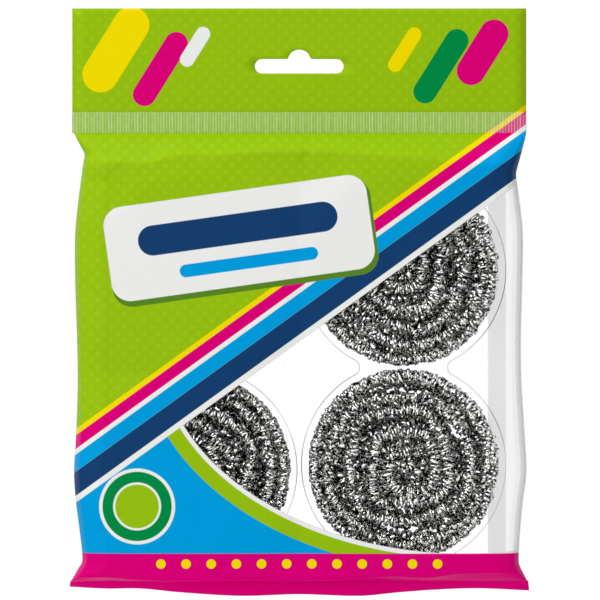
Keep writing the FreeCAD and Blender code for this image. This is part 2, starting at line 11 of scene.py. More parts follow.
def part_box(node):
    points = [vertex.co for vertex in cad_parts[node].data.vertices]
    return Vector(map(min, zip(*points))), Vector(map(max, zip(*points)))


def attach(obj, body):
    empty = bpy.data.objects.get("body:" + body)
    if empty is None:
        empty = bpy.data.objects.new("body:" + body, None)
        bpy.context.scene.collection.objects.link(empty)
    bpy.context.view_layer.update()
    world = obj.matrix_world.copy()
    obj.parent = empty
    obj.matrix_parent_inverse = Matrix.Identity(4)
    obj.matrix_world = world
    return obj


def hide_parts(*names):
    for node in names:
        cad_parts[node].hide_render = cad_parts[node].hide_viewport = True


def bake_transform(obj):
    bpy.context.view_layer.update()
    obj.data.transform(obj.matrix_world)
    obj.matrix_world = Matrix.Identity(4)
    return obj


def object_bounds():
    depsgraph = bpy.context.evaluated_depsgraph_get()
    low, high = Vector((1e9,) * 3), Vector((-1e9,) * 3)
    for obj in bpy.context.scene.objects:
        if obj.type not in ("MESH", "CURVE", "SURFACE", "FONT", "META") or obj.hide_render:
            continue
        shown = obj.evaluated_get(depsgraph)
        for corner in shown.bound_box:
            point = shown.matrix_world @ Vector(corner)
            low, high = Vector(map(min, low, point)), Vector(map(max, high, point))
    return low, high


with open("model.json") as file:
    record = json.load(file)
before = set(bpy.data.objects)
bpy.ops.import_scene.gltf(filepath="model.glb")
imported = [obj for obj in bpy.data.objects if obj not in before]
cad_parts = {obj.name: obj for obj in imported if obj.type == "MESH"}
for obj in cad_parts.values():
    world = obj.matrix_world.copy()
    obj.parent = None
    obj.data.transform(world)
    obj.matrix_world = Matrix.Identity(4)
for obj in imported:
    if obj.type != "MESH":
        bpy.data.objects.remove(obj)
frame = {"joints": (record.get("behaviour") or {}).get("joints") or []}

bl_info = {
    "name": "Hanging pack of pot scourers",
    "version": (1, 0, 0),
    "blender": (4, 5, 0),
    "location": "View3D > Sidebar > Scourer pack",
    "description": "Dresses the packed frame of a film bag, a clear tray and four wound steel scourers",
    "category": "Object",
}

cad_low, cad_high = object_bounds()

# Lengths in the code are millimetres in the pack's frame, and become metres when a mesh is written.
MM = 0.001


def span(node):
    """A CAD node's lowest and highest corners in millimetres."""
    low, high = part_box(node)
    return low / MM, high / MM


HEADER_LOW, HEADER_HIGH = span("header_front_ply")
CRIMP_LOW, CRIMP_HIGH = span("crimp_seal")
SEAL_LOW, SEAL_HIGH = span("bottom_seal")
SEAM_LOW, SEAM_HIGH = span("back_seam")
TRAY_LOW, TRAY_HIGH = span("tray")
FRONT_LOW, FRONT_HIGH = span("front_panel")
FOLD_Z = next(joint for joint in frame["joints"] if joint["name"] == "header_fold")["pos_m"][2] / MM
FULL_DEPTH = -FRONT_LOW.y

# Where each scourer turns: its joint's place in the record
SCOURERS = {
    joint["name"].removesuffix("_turn"): Vector(joint["pos_m"]) / MM
    for joint in frame["joints"] if joint["name"].endswith("_turn")
}

# Height, then the pouch's reach to the left and to the right of the middle
POUCH_REACH = (
    (CRIMP_LOW.z, 81.2, 81.8),
    (-27.6, 79.3, 80.9),
    (-31.0, 77.5, 80.0),
    (-32.0, 77.2, 79.7),
    (-33.2, 77.4, 79.4),
    (-37.6, 78.1, 78.2),
    (-38.6, 78.2, 78.0),
    (-40.0, 78.4, 78.1),
    (-47.0, 79.3, 79.1),
    (-60.0, 80.6, 80.5),
    (-77.0, 80.6, 80.3),
    (-100.0, 79.9, 79.8),
    (-115.0, 79.7, 80.1),
    (-133.0, 80.3, 81.2),
    (-146.0, 81.0, 81.8),
    (-156.0, 80.4, 80.6),
    (-164.0, 79.4, 79.8),
    (-175.0, 78.1, 79.0),
    (-178.6, 78.2, 79.0),
    (-180.4, 79.3, 79.6),
    (SEAL_HIGH.z, 82.4, 82.4),
)

# The creases along the shoulder and the foot: place across, then height
SHOULDER_CREASE = (
    (-81.0, -37.0),
    (-72.4, -36.6),
    (-66.4, -34.5),
    (-55.0, -34.9),
    (-47.3, -32.6),
    (-40.0, -31.7),
    (-30.7, -31.9),
    (-20.0, -31.0),
    (0.0, -30.4),
    (20.0, -31.2),
    (40.0, -32.4),
    (55.0, -34.0),
    (66.0, -35.5),
    (81.0, -37.5),
)
FOOT_CREASE = (
    (-81.0, -181.4),
    (-66.0, -183.6),
    (-48.0, -184.7),
    (-13.0, -184.4),
    (0.0, -184.7),
    (13.0, -184.4),
    (33.0, -183.0),
    (46.0, -183.5),
    (57.0, -182.0),
    (81.0, -181.4),
)

# The bottom edge: place across, then height
BOTTOM_EDGE = (
    (-82.7, -187.2),
    (-70.0, -187.9),
    (-57.0, -187.9),
    (-43.0, -189.3),
    (-21.0, -190.6),
    (0.0, -190.0),
    (22.0, -190.6),
    (36.0, -189.3),
    (51.0, -188.2),
    (65.0, -187.8),
    (82.8, -188.6),
)

# Folds in the front film: from x, z to x, z, then half width and depth
FRONT_FOLDS = (
    (-80.0, -26.0, -60.0, -52.0, 3.0, 0.7),
    (-78.0, -30.0, -72.0, -62.0, 2.4, 0.8),
    (80.0, -27.0, 66.0, -47.0, 3.0, 0.7),
    (78.0, -36.0, 72.0, -76.0, 2.2, 0.8),
    (-40.0, -25.0, -34.0, -36.0, 4.0, 0.5),
    (6.0, -25.0, 0.0, -38.0, 4.0, 0.5),
    (46.0, -25.0, 52.0, -37.0, 4.0, 0.5),
    (-76.0, -176.0, -62.0, -160.0, 3.0, 0.6),
    (76.0, -177.0, 66.0, -161.0, 3.0, 0.6),
    (-30.0, -184.0, -22.0, -174.0, 3.5, 0.6),
    (34.0, -184.0, 26.0, -173.0, 3.5, 0.6),
    (73.5, -70.0, 74.5, -160.0, 1.6, 0.45),
    (-74.0, -80.0, -73.0, -150.0, 1.6, 0.35),
)


class FilmSettings(bpy.types.PropertyGroup):
    thickness: FloatProperty(
        name="Film", description="Thickness of one ply of the bag", default=0.3 * MM, min=0.0, unit="LENGTH")
    front_round: FloatProperty(
        name="Front rounding", description="Rounding of the pouch's long front edges",
        default=10.0 * MM, unit="LENGTH")
    back_round: FloatProperty(
        name="Back rounding", description="Rounding of the pouch's long back edges",
        default=6.0 * MM, unit="LENGTH")
    sag: FloatProperty(
        name="Sag", description="How far the film sinks between the scourers", default=1.5 * MM, unit="LENGTH")
    crimp_pitch: FloatProperty(
        name="Crimp ribs", description="Step of the ribs pressed into the crimp",
        default=3.13 * MM, unit="LENGTH")
    lime: FloatVectorProperty(
        name="Lime", description="Ground colour of the print", subtype="COLOR", default=(0.31, 0.535, 0.006))
    light_lime: FloatVectorProperty(
        name="Light lime", description="Dots on the ground colour", subtype="COLOR",
        default=(0.37, 0.615, 0.012))
    yellow: FloatVectorProperty(
        name="Yellow", description="Yellow of the print", subtype="COLOR", default=(0.92, 0.74, 0.0))
    magenta: FloatVectorProperty(
        name="Magenta", description="Foot band and stripes", subtype="COLOR", default=(0.74, 0.0, 0.195))
    blue: FloatVectorProperty(
        name="Blue", description="Field under the window", subtype="COLOR", default=(0.0, 0.345, 0.75))
    navy: FloatVectorProperty(
        name="Navy", description="Broad stripe and label bar", subtype="COLOR", default=(0.008, 0.05, 0.16))
    emerald: FloatVectorProperty(
        name="Emerald", description="Round seal in the corner", subtype="COLOR", default=(0.0, 0.26, 0.06))
    white: FloatVectorProperty(
        name="White", description="White of the print and of its lining", subtype="COLOR",
        default=(0.88, 0.89, 0.87))


class ScourerSettings(bpy.types.PropertyGroup):
    strand_radius: FloatProperty(
        name="Strand", description="Radius of the curled strand", default=3.1 * MM, unit="LENGTH")
    rim_loop: FloatProperty(
        name="Rim loop", description="Outermost loop, at the strand's middle", default=32.4 * MM, unit="LENGTH")
    core_loop: FloatProperty(
        name="Core loop", description="Innermost loop, at the strand's middle", default=6.9 * MM, unit="LENGTH")
    loop_pitch: FloatProperty(
        name="Loop step", description="From one layer of loops to the next", default=6.0 * MM, unit="LENGTH")
    turns: IntProperty(name="Turns", description="Turns from the rim to the core", default=4)
    layers: IntProperty(name="Layers", description="Layers of loops", default=4)
    rim_curl: FloatProperty(
        name="Rim curl", description="Radius of the small tangled curls near the rim", default=1.55 * MM,
        unit="LENGTH")
    core_curl: FloatProperty(
        name="Core curl", description="Radius of the neat curls near the core", default=2.5 * MM, unit="LENGTH")
    front_step: FloatProperty(
        name="Front curl step", description="Step of the curls in the front layer", default=0.44 * MM,
        unit="LENGTH")
    back_step: FloatProperty(
        name="Back curl step", description="Step of the curls in the back layer", default=0.64 * MM,
        unit="LENGTH")
    inner_step: FloatProperty(
        name="Inner curl step", description="Step of the curls in the layers between", default=1.0 * MM,
        unit="LENGTH")
    ribbon_width: FloatProperty(
        name="Ribbon width", description="Width of the flat steel ribbon", default=0.72 * MM, unit="LENGTH")
    ribbon_thickness: FloatProperty(
        name="Ribbon thickness", description="Thickness of the flat steel ribbon", default=0.12 * MM,
        unit="LENGTH")
    steel: FloatVectorProperty(
        name="Steel", description="Colour of the ribbon", subtype="COLOR", default=(0.96, 0.955, 0.94))
    seed: IntProperty(name="Seed", description="Start of the random curls", default=7)


class TraySettings(bpy.types.PropertyGroup):
    sheet: FloatProperty(name="Sheet", description="Wall of the formed tray", default=0.4 * MM, unit="LENGTH")
    well_radius: FloatProperty(
        name="Well", description="Radius of a well at its mouth", default=36.5 * MM, unit="LENGTH")
    waist_radius: FloatProperty(
        name="Waist", description="Rounding between the two rounds of a well", default=3.0 * MM, unit="LENGTH")
    draft: FloatProperty(
        name="Draft", description="How much narrower a well is at its floor", default=0.45 * MM, unit="LENGTH")
    fillet: FloatProperty(
        name="Fillet", description="Rounding at the mouth and the floor", default=0.9 * MM, unit="LENGTH")


class StageSettings(bpy.types.PropertyGroup):
    camera_distance: FloatProperty(
        name="Camera distance", description="Camera to the middle of the pack", default=2.0, unit="LENGTH")
    frame_height: FloatProperty(
        name="Frame", description="Height of the picture at the pack", default=0.216, unit="LENGTH")
    floor_drop: FloatProperty(
        name="Floor drop", description="Floor below the pack's lowest point", default=0.07, unit="LENGTH")
    key_power: FloatProperty(
        name="Key light", description="Power of the frontal light", default=8.5, unit="POWER")
    top_power: FloatProperty(
        name="Top light", description="Power of the light above", default=17.0, unit="POWER")
    ambient: FloatProperty(name="Ambient", description="Even light from all round", default=0.41)


# Shaping

def clamp(value, low=0.0, high=1.0):
    return max(low, min(high, value))


def between(start, end, share):
    """A value part of the way from one to another."""
    return start + (end - start) * share


def ease(value):
    """Smooth step from 0 to 1."""
    value = clamp(value)
    return value * value * (3.0 - 2.0 * value)


def soft_least(first, second, width):
    """The lesser of two values, rounded over where they cross."""
    near = max(width - abs(first - second), 0.0) / width
    return min(first, second) - near * near * width / 4.0


def through(knots, at, column=1):
    """A smooth curve through knots sorted by their first value, in either direction."""
    if (knots[0][0] - knots[-1][0]) * (at - knots[0][0]) >= 0.0:
        return knots[0][column]
    if (knots[-1][0] - knots[0][0]) * (at - knots[-1][0]) >= 0.0:
        return knots[-1][column]
    index = next(i for i in range(len(knots) - 1) if (knots[i][0] - at) * (knots[i + 1][0] - at) <= 0.0)
    before, start = knots[max(index - 1, 0)], knots[index]
    end, after = knots[index + 1], knots[min(index + 2, len(knots) - 1)]
    gap = end[0] - start[0]
    share = (at - start[0]) / gap
    leave = (end[column] - before[column]) / (end[0] - before[0]) * gap
    arrive = (after[column] - start[column]) / (after[0] - start[0]) * gap
    square, cube = share * share, share ** 3
    return (
        (2 * cube - 3 * square + 1) * start[column] + (cube - 2 * square + share) * leave
        + (3 * square - 2 * cube) * end[column] + (cube - square) * arrive
    )


def run_marks(points):
    """The length along a run of points at each of them."""
    marks = [0.0]
    for first, second in zip(points, points[1:]):
        marks.append(marks[-1] + (second - first).length)
    return marks


def along(points, count):
    """Points spaced evenly along a run of points."""
    marks = run_marks(points)
    found, index = [], 0
    for step in range(count + 1):
        mark = marks[-1] * step / count
        while index < len(points) - 2 and marks[index + 1] < mark:
            index += 1
        reach = marks[index + 1] - marks[index]
        found.append(points[index].lerp(points[index + 1], (mark - marks[index]) / reach if reach else 0.0))
    return found


def creased(points):
    """Points along a run of straight pieces, close together at its corners to keep the folds crisp."""
    run = [first.lerp(second, share)
           for first, second in zip(points, points[1:]) for share in (0.06, 0.35, 0.65, 0.94)]
    run[0] = points[0]
    return run


def arc_points(x, z, radius, start, end, steps):
    """Points of an arc in the front view, angles in radians."""
    turns = [between(start, end, step / steps) for step in range(steps + 1)]
    return [Vector((x + radius * math.cos(turn), 0.0, z + radius * math.sin(turn))) for turn in turns]


def edge_rows(count):
    """Shares from 0 to 1, the first and last steps very short to keep a sheet's edge crisp."""
    return [0.0, 0.012] + [step / count for step in range(1, count)] + [0.988, 1.0]


def shaped_grid(columns, rows, place, bm=None):
    """A grid, new or added to a bmesh, whose corner (i, j) is moved to place(i, j) in millimetres."""
    if bm is None:
        bm = bmesh.new()
    made = bmesh.ops.create_grid(bm, x_segments=columns, y_segments=rows, size=1.0)
    for vertex in made["verts"]:
        i = round((vertex.co.x + 1.0) / 2.0 * columns)
        j = round((vertex.co.y + 1.0) / 2.0 * rows)
        vertex.co = Vector(place(i, j)) * MM
    return bm


def ring_edges(bm, points):
    """A circle of edges moved onto a closed run of points in millimetres."""
    verts = bmesh.ops.create_circle(bm, segments=len(points), radius=1.0)["verts"]
    for vertex, point in zip(verts, points):
        vertex.co = point * MM
    return [bm.edges.get(pair) for pair in zip(verts, verts[1:] + verts[:1])]


def backward(bm):
    """How much more of a sheet's area looks backwards than forwards."""
    return sum(face.normal.y * face.calc_area() for face in bm.faces)


def face_out(bm, inward):
    """Turn all faces the same way, and round again where the test finds that they point inwards."""
    bmesh.ops.recalc_face_normals(bm, faces=bm.faces)
    if inward(bm):
        bmesh.ops.reverse_faces(bm, faces=bm.faces)


def make_piece(bm, name, materials, pick=None):
    """Turn a bmesh into a smooth object in the scene; pick gives a face's material from its middle."""
    for face in bm.faces:
        face.smooth = True
        if pick:
            face.material_index = pick(face.calc_center_median() / MM)
    mesh = bpy.data.meshes.new(name)
    bm.to_mesh(mesh)
    bm.free()
    piece = bpy.data.objects.new(name, mesh)
    bpy.context.scene.collection.objects.link(piece)
    for material in materials:
        mesh.materials.append(material)
    return piece


def thicken(piece, thickness, offset, lining=0):
    """Give a sheet its wall: offset -1 keeps the outer face where it is, 0 keeps the middle."""
    wall = piece.modifiers.new("Wall", "SOLIDIFY")
    wall.thickness = thickness
    wall.offset = offset
    wall.material_offset = lining
    wall.use_even_offset = False


def settle(piece, body, slot, *nodes):
    """The piece rides on its body and stands for the CAD nodes, which are hidden; the slot is not used."""
    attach(piece, body)
    if nodes:
        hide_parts(*nodes)


# Node wiring

class Wiring:
    """Adds nodes to one tree and joins them up."""

    def __init__(self, tree):
        self.tree = tree

    def feed(self, socket, value):
        if isinstance(value, bpy.types.NodeSocket):
            self.tree.links.new(value, socket)
        else:
            socket.default_value = value

    def fill(self, node, values):
        for socket, value in values.items():
            self.feed(node.inputs[socket], value)

    def add(self, kind, values=None, **settings):
        node = self.tree.nodes.new(kind)
        for name, value in settings.items():
            setattr(node, name, value)
        self.fill(node, values or {})
        return node

    def math(self, operation, first, second=0.0, third=0.0, clamped=False):
        values = {0: first, 1: second, 2: third}
        return self.add("ShaderNodeMath", values, operation=operation, use_clamp=clamped).outputs[0]

    def vector(self, operation, first, second=(0.0, 0.0, 0.0)):
        node = self.add("ShaderNodeVectorMath", {0: first, 1: second}, operation=operation)
        return node.outputs["Value" if operation in ("LENGTH", "DOT_PRODUCT") else "Vector"]

    def scaled(self, first, factor):
        node = self.add("ShaderNodeVectorMath", {0: first, "Scale": factor}, operation="SCALE")
        return node.outputs["Vector"]

    def mix(self, mask, under, over):
        """Lay one colour over another where the mask is 1."""
        node = self.add("ShaderNodeMix", {0: mask, 6: under, 7: over}, data_type="RGBA")
        return node.outputs[2]

    def blend(self, share, first, second):
        """A number between two others."""
        node = self.add("ShaderNodeMix", {0: share, 2: first, 3: second}, data_type="FLOAT")
        return node.outputs[0]

    def mask(self, distance, edge):
        """1 inside an outline and 0 outside it, soft over the width of its edge."""
        return self.math("SUBTRACT", 0.5, self.math("DIVIDE", distance, edge), clamped=True)

    def noise(self, place, scale, detail=2.0, roughness=0.5):
        node = self.add("ShaderNodeTexNoise", {
            "Vector": place, "Scale": scale, "Detail": detail, "Roughness": roughness})
        return node.outputs[0]

    def bump(self, height, strength, distance):
        values = {"Height": height, "Strength": strength, "Distance": distance}
        return self.add("ShaderNodeBump", values).outputs[0]

    def group(self, tree, values):
        return self.add("ShaderNodeGroup", values, node_tree=tree).outputs


def new_group(name, inputs, outputs):
    """An empty node group with its sockets; returns its tree, its wiring, the inputs and the outputs."""
    tree = bpy.data.node_groups.get(name)
    if tree:
        return tree, None, None, None
    tree = bpy.data.node_groups.new(name, "ShaderNodeTree")
    for label, kind, default in inputs:
        socket = tree.interface.new_socket(label, in_out="INPUT", socket_type=f"NodeSocket{kind}")
        if default is not None:
            socket.default_value = default
    for label, kind in outputs:
        tree.interface.new_socket(label, in_out="OUTPUT", socket_type=f"NodeSocket{kind}")
    wiring = Wiring(tree)
    start = wiring.add("NodeGroupInput")
    end = wiring.add("NodeGroupOutput")
    return tree, wiring, start.outputs, end.inputs


def opaque(colour):
    return (*colour, 1.0)


# Factor that leaves out a place's depth
FRONT_VIEW = (1.0, 0.0, 1.0)


def rounded_patch():
    """Mask of a turned rectangle with rounded corners in the front view; sizes in millimetres."""
    tree, w, start, end = new_group("rounded_patch", (
        ("Place", "Vector", None), ("Middle", "Vector", None), ("Turn", "Float", 0.0),
        ("Half", "Vector", None), ("Round", "Float", 0.0), ("Edge", "Float", 0.25)), (("Mask", "Float"),))
    if w:
        offset = w.vector("SUBTRACT", start["Place"], start["Middle"])
        turned = w.add("ShaderNodeVectorRotate", {"Vector": offset, "Angle": start["Turn"]},
                       rotation_type="Y_AXIS").outputs[0]
        flat = w.vector("MULTIPLY", turned, FRONT_VIEW)
        corner = w.vector("ADD", w.vector("SUBTRACT", w.vector("ABSOLUTE", flat), start["Half"]),
                          w.scaled(FRONT_VIEW, start["Round"]))
        outside = w.vector("LENGTH", w.vector("MULTIPLY", w.vector("MAXIMUM", corner), FRONT_VIEW))
        axes = w.add("ShaderNodeSeparateXYZ", {0: corner}).outputs
        inside = w.math("MINIMUM", w.math("MAXIMUM", axes[0], axes[2]), 0.0)
        distance = w.math("SUBTRACT", w.math("ADD", outside, inside), start["Round"])
        w.feed(end["Mask"], w.mask(distance, start["Edge"]))
    return tree


def oval_patch():
    """Mask of an oval in the front view; sizes in millimetres."""
    tree, w, start, end = new_group("oval_patch", (
        ("Place", "Vector", None), ("Middle", "Vector", None), ("Half", "Vector", None),
        ("Edge", "Float", 0.25)), (("Mask", "Float"),))
    if w:
        offset = w.vector("SUBTRACT", start["Place"], start["Middle"])
        share = w.vector("DIVIDE", w.vector("MULTIPLY", offset, FRONT_VIEW), start["Half"])
        axes = w.add("ShaderNodeSeparateXYZ", {0: start["Half"]}).outputs
        least = w.math("MINIMUM", axes[0], axes[2])
        distance = w.math("MULTIPLY", w.math("SUBTRACT", w.vector("LENGTH", share), 1.0), least)
        w.feed(end["Mask"], w.mask(distance, start["Edge"]))
    return tree


def dot_rows():
    """Mask of round dots on a turned square grid; sizes in millimetres."""
    tree, w, start, end = new_group("dot_rows", (
        ("Place", "Vector", None), ("Turn", "Float", 0.0), ("Pitch", "Float", 4.0),
        ("Radius", "Float", 1.0), ("Edge", "Float", 0.2)), (("Mask", "Float"),))
    if w:
        turned = w.add("ShaderNodeVectorRotate", {"Vector": start["Place"], "Angle": start["Turn"]},
                       rotation_type="Y_AXIS").outputs[0]
        cells = w.scaled(turned, w.math("DIVIDE", 1.0, start["Pitch"]))
        inside = w.vector("SUBTRACT", w.vector("FRACTION", cells), (0.5, 0.5, 0.5))
        flat = w.scaled(w.vector("MULTIPLY", inside, FRONT_VIEW), start["Pitch"])
        distance = w.math("SUBTRACT", w.vector("LENGTH", flat), start["Radius"])
        w.feed(end["Mask"], w.mask(distance, start["Edge"]))
    return tree


def film_creases():
    """Height of the unevenness in handled film: broad soft dents, drawn-out ripples and a printed grain."""
    tree, w, start, end = new_group("film_creases", (
        ("Place", "Vector", None), ("Dents", "Float", 0.5), ("Ripples", "Float", 0.4),
        ("Grain", "Float", 0.05)), (("Height", "Float"),))
    if w:
        dents = w.noise(start["Place"], 22.0, 2.0, 0.45)
        drawn = w.vector("MULTIPLY", start["Place"], (1.0, 1.0, 0.25))
        ripples = w.noise(drawn, 90.0, 1.0)
        grain = w.noise(start["Place"], 1800.0, 1.0)
        height = w.math("MULTIPLY", dents, start["Dents"])
        height = w.math("ADD", height, w.math("MULTIPLY", ripples, start["Ripples"]))
        w.feed(end["Height"], w.math("ADD", height, w.math("MULTIPLY", grain, start["Grain"])))
    return tree


# The sash runs up to the right over the front; the window lies under it
SASH_TURN = math.radians(35.8)
SASH_FOOT = Vector((0.0, 0.0, -99.0))
SASH_UP = Vector((-math.sin(SASH_TURN), 0.0, math.cos(SASH_TURN)))
WINDOW_MIDDLE = (60.0, 0.0, -100.0)
WINDOW_HALF = (110.0, 1.0, 75.0)
FOOT_BAND_Z = -174.9
BACK_BAND_Z = -178.3
# The row of dots on the foot band
DOT_ROW_Z, DOT_PITCH = -178.6, 9.0
# The back's clear field, and the gusset beside it
FIELD_MIDDLE = (30.0, -107.0)
FIELD_HALF = (82.0, 71.0)
GUSSET_X = 68.4
GUSSET_FOLD_WIDTH = 6.4
# Longer than anything on the pack
FAR = 400.0
# Tones that belong to no ink: the label's painted shadow, the grey of the painted sheen and painted shade on
# the bare film, and the film whitened by the crimp
LABEL_SHADE = (0.10, 0.24, 0.02)
PAINTED_FILM_GREY = (0.75, 0.76, 0.77)
WHITENED_FILM = (0.88, 0.90, 0.86)


def box_drawer(w, place):
    """A function that gives the mask of a box in the front view, with its corners' rounding and its turn."""
    patch = rounded_patch()

    def box(x, z, half_x, half_z, corner=0.0, turn=0.0):
        return w.group(patch, {"Place": place, "Middle": (x, 0.0, z), "Turn": turn,
                               "Half": (half_x, 0.0, half_z), "Round": corner})[0]

    return box


def speckled_ground(w, place):
    """The ground of the print, with its faint lighter dots."""
    ink = bpy.context.scene.pack_film
    speckle = w.group(dot_rows(), {
        "Place": place, "Turn": math.radians(45.0), "Pitch": 3.4, "Radius": 0.95})[0]
    return w.mix(w.math("MULTIPLY", speckle, 0.4), opaque(ink.lime), opaque(ink.light_lime))


def front_print():
    """The front's print: its colour, and the part that is left clear."""
    ink = bpy.context.scene.pack_film
    tree, w, start, end = new_group("front_print", (("Place", "Vector", None),),
                                    (("Colour", "Color"), ("Clear", "Float")))
    if not w:
        return tree
    place = w.scaled(start["Place"], 1.0 / MM)
    box, oval = box_drawer(w, place), oval_patch()

    def disc(x, z, half_x, half_z):
        return w.group(oval, {"Place": place, "Middle": (x, 0.0, z), "Half": (half_x, 1.0, half_z)})[0]

    def stripe(near, far):
        middle = SASH_FOOT + SASH_UP * (near + far) / 2.0
        return box(middle.x, middle.z, FAR, (far - near) / 2.0, 0.0, SASH_TURN)

    under_sash = stripe(-FAR, 0.0)
    colour = speckled_ground(w, place)

    # Slanted capsules in the header
    lean = math.radians(58.0)
    capsules = (
        (-66.0, 6.0, 17.0, 6.5, ink.yellow), (-50.0, -1.0, 15.0, 4.2, ink.magenta),
        (-37.5, 7.0, 8.0, 2.6, ink.white), (38.0, 6.0, 9.0, 2.6, ink.yellow),
        (51.0, 0.0, 15.0, 4.2, ink.emerald), (66.0, 5.0, 13.0, 5.2, ink.magenta))
    for x, z, half, round_end, shade in capsules:
        colour = w.mix(box(x, z, half, round_end, round_end, lean), colour, opaque(shade))

    # Field under the sash, and the rim of the window
    colour = w.mix(under_sash, colour, opaque(ink.blue))
    for grow, shade in ((7.0, ink.lime), (1.6, ink.white)):
        rim = disc(WINDOW_MIDDLE[0], WINDOW_MIDDLE[2], WINDOW_HALF[0] + grow, WINDOW_HALF[2] + grow)
        colour = w.mix(w.math("MULTIPLY", rim, under_sash), colour, opaque(shade))
    window = w.math("MULTIPLY", disc(WINDOW_MIDDLE[0], WINDOW_MIDDLE[2], WINDOW_HALF[0], WINDOW_HALF[2]),
                    under_sash)

    # Stripes of the sash
    for near, far, shade in ((0.0, 2.0, ink.white), (2.0, 9.0, ink.navy), (9.0, 14.0, ink.blue),
                             (14.0, 15.6, ink.white), (15.6, 19.6, ink.magenta), (19.6, 21.4, ink.yellow)):
        colour = w.mix(stripe(near, far), colour, opaque(shade))

    # Blank label with two bars
    tilt = math.radians(8.0)
    # The first, darker patch is a painted shadow along the label's lower edge
    for x, z, half_x, half_z, corner, shade in (
            (-20.6, -63.6, 48.0, 17.4, 7.0, LABEL_SHADE), (-21.5, -62.0, 47.5, 17.0, 6.8, ink.white),
            (-22.0, -58.6, 36.0, 5.4, 5.4, ink.navy), (-18.0, -70.6, 25.0, 2.3, 2.3, ink.blue)):
        colour = w.mix(box(x, z, half_x, half_z, corner, tilt), colour, opaque(shade))

    # Round seal on the blue field
    for radius, shade in ((13.6, ink.white), (12.4, ink.emerald), (8.6, ink.white), (7.8, ink.lime)):
        colour = w.mix(disc(-58.0, -158.0, radius, radius), colour, opaque(shade))

    # Band along the foot with a row of dots
    foot = box(0.0, FOOT_BAND_Z - FAR, FAR, FAR)
    colour = w.mix(foot, colour, opaque(ink.magenta))
    raised = w.vector("ADD", place, (0.0, 0.0, DOT_PITCH / 2.0 - DOT_ROW_Z))
    row = w.group(dot_rows(), {"Place": raised, "Pitch": DOT_PITCH, "Radius": 1.7})[0]
    row = w.math("MULTIPLY", row, box(0.0, DOT_ROW_Z, 6.0 * DOT_PITCH, 4.4))
    colour = w.mix(row, colour, opaque(ink.yellow))

    w.feed(end["Colour"], colour)
    w.feed(end["Clear"], w.math("MULTIPLY", window, w.math("SUBTRACT", 1.0, foot)))
    return tree


def back_print():
    """The back's print: coloured head, foot and one side, and a clear field, with painted shade over the side
    gusset.
    """
    ink = bpy.context.scene.pack_film
    tree, w, start, end = new_group("back_print", (("Place", "Vector", None),),
                                    (("Colour", "Color"), ("Clear", "Float"), ("Painted shade", "Float")))
    if not w:
        return tree
    place = w.scaled(start["Place"], 1.0 / MM)
    box = box_drawer(w, place)
    field, rim = (box(*FIELD_MIDDLE, *(half + grow for half in FIELD_HALF), 8.0 + grow) for grow in (0.0, 1.5))
    colour = w.mix(rim, speckled_ground(w, place), opaque(ink.white))
    colour = w.mix(box(0.0, BACK_BAND_Z - FAR, FAR, FAR), colour, opaque(ink.magenta))
    w.feed(end["Colour"], colour)
    w.feed(end["Clear"], field)
    # Painted shade over the side gusset, where its film curves round, strongest in its fold
    side = w.math("MULTIPLY", box(GUSSET_X + FAR, 0.0, FAR, FAR), 0.07)
    half = GUSSET_FOLD_WIDTH / 2.0
    w.feed(end["Painted shade"], w.math("MULTIPLY_ADD", box(GUSSET_X + half, 0.0, half, FAR), 0.14, side))
    return tree


def new_material(name):
    """An empty material with its wiring, the surface's place and the shader."""
    material = bpy.data.materials.new(name)
    material.use_nodes = True
    w = Wiring(material.node_tree)
    shader = material.node_tree.nodes["Principled BSDF"]
    place = w.add("ShaderNodeTexCoord").outputs["Object"]
    return material, w, shader, place


def film_material(name, artwork, lining=False, crimped=False, sheen=0.45):
    """Printed film, or its white lining; clear where the artwork leaves the film bare, with a faint painted
    grey sheen there that grows where the film is seen edge-on.
    """
    material, w, shader, place = new_material(name)
    ink = bpy.context.scene.pack_film
    art = w.group(artwork(), {"Place": place})
    creases = w.group(film_creases(), {"Place": place, "Dents": 1.0, "Ripples": 0.25, "Grain": 0.02})
    grazing = w.add("ShaderNodeLayerWeight", {"Blend": 0.5}).outputs["Facing"]
    # Painted sheen: the bare film is painted grey and made less clear where it is seen more edge-on, and the
    # print's painted shade is added to it
    painted_sheen_and_shade = w.math("MULTIPLY", w.math("POWER", grazing, 1.3), sheen)
    if "Painted shade" in art:
        painted_sheen_and_shade = w.math("MAXIMUM", painted_sheen_and_shade, art["Painted shade"])
    alpha = w.blend(art["Clear"], 1.0, painted_sheen_and_shade)
    colour = w.mix(art["Clear"], opaque(ink.white) if lining else art["Colour"], opaque(PAINTED_FILM_GREY))
    if crimped:
        across = w.add("ShaderNodeSeparateXYZ", {0: place}).outputs[0]
        fine, broad = (
            w.math("SINE", w.math("MULTIPLY", across, 2.0 * math.pi / step))
            for step in (ink.crimp_pitch / 3.0, ink.crimp_pitch))
        line = w.math("POWER", w.math("MULTIPLY_ADD", fine, 0.5, 0.5), 3.0)
        uneven = w.noise(w.vector("MULTIPLY", place, (1.0, 0.0, 0.0)), 900.0, 1.0)
        strength = w.math("MULTIPLY_ADD", uneven, 0.7, w.math("MULTIPLY_ADD", broad, 0.06, -0.1))
        milky = w.math("MULTIPLY_ADD", line, strength, 0.1, clamped=True)
        colour = w.mix(milky, colour, opaque(WHITENED_FILM))
    w.fill(shader, {
        "Base Color": colour, "Alpha": alpha, "Specular IOR Level": 0.01,
        "Roughness": w.math("MULTIPLY_ADD", w.noise(place, 90.0), 0.14, 0.14),
        "Normal": w.bump(creases["Height"], 0.25, 0.6 * MM)})
    return material


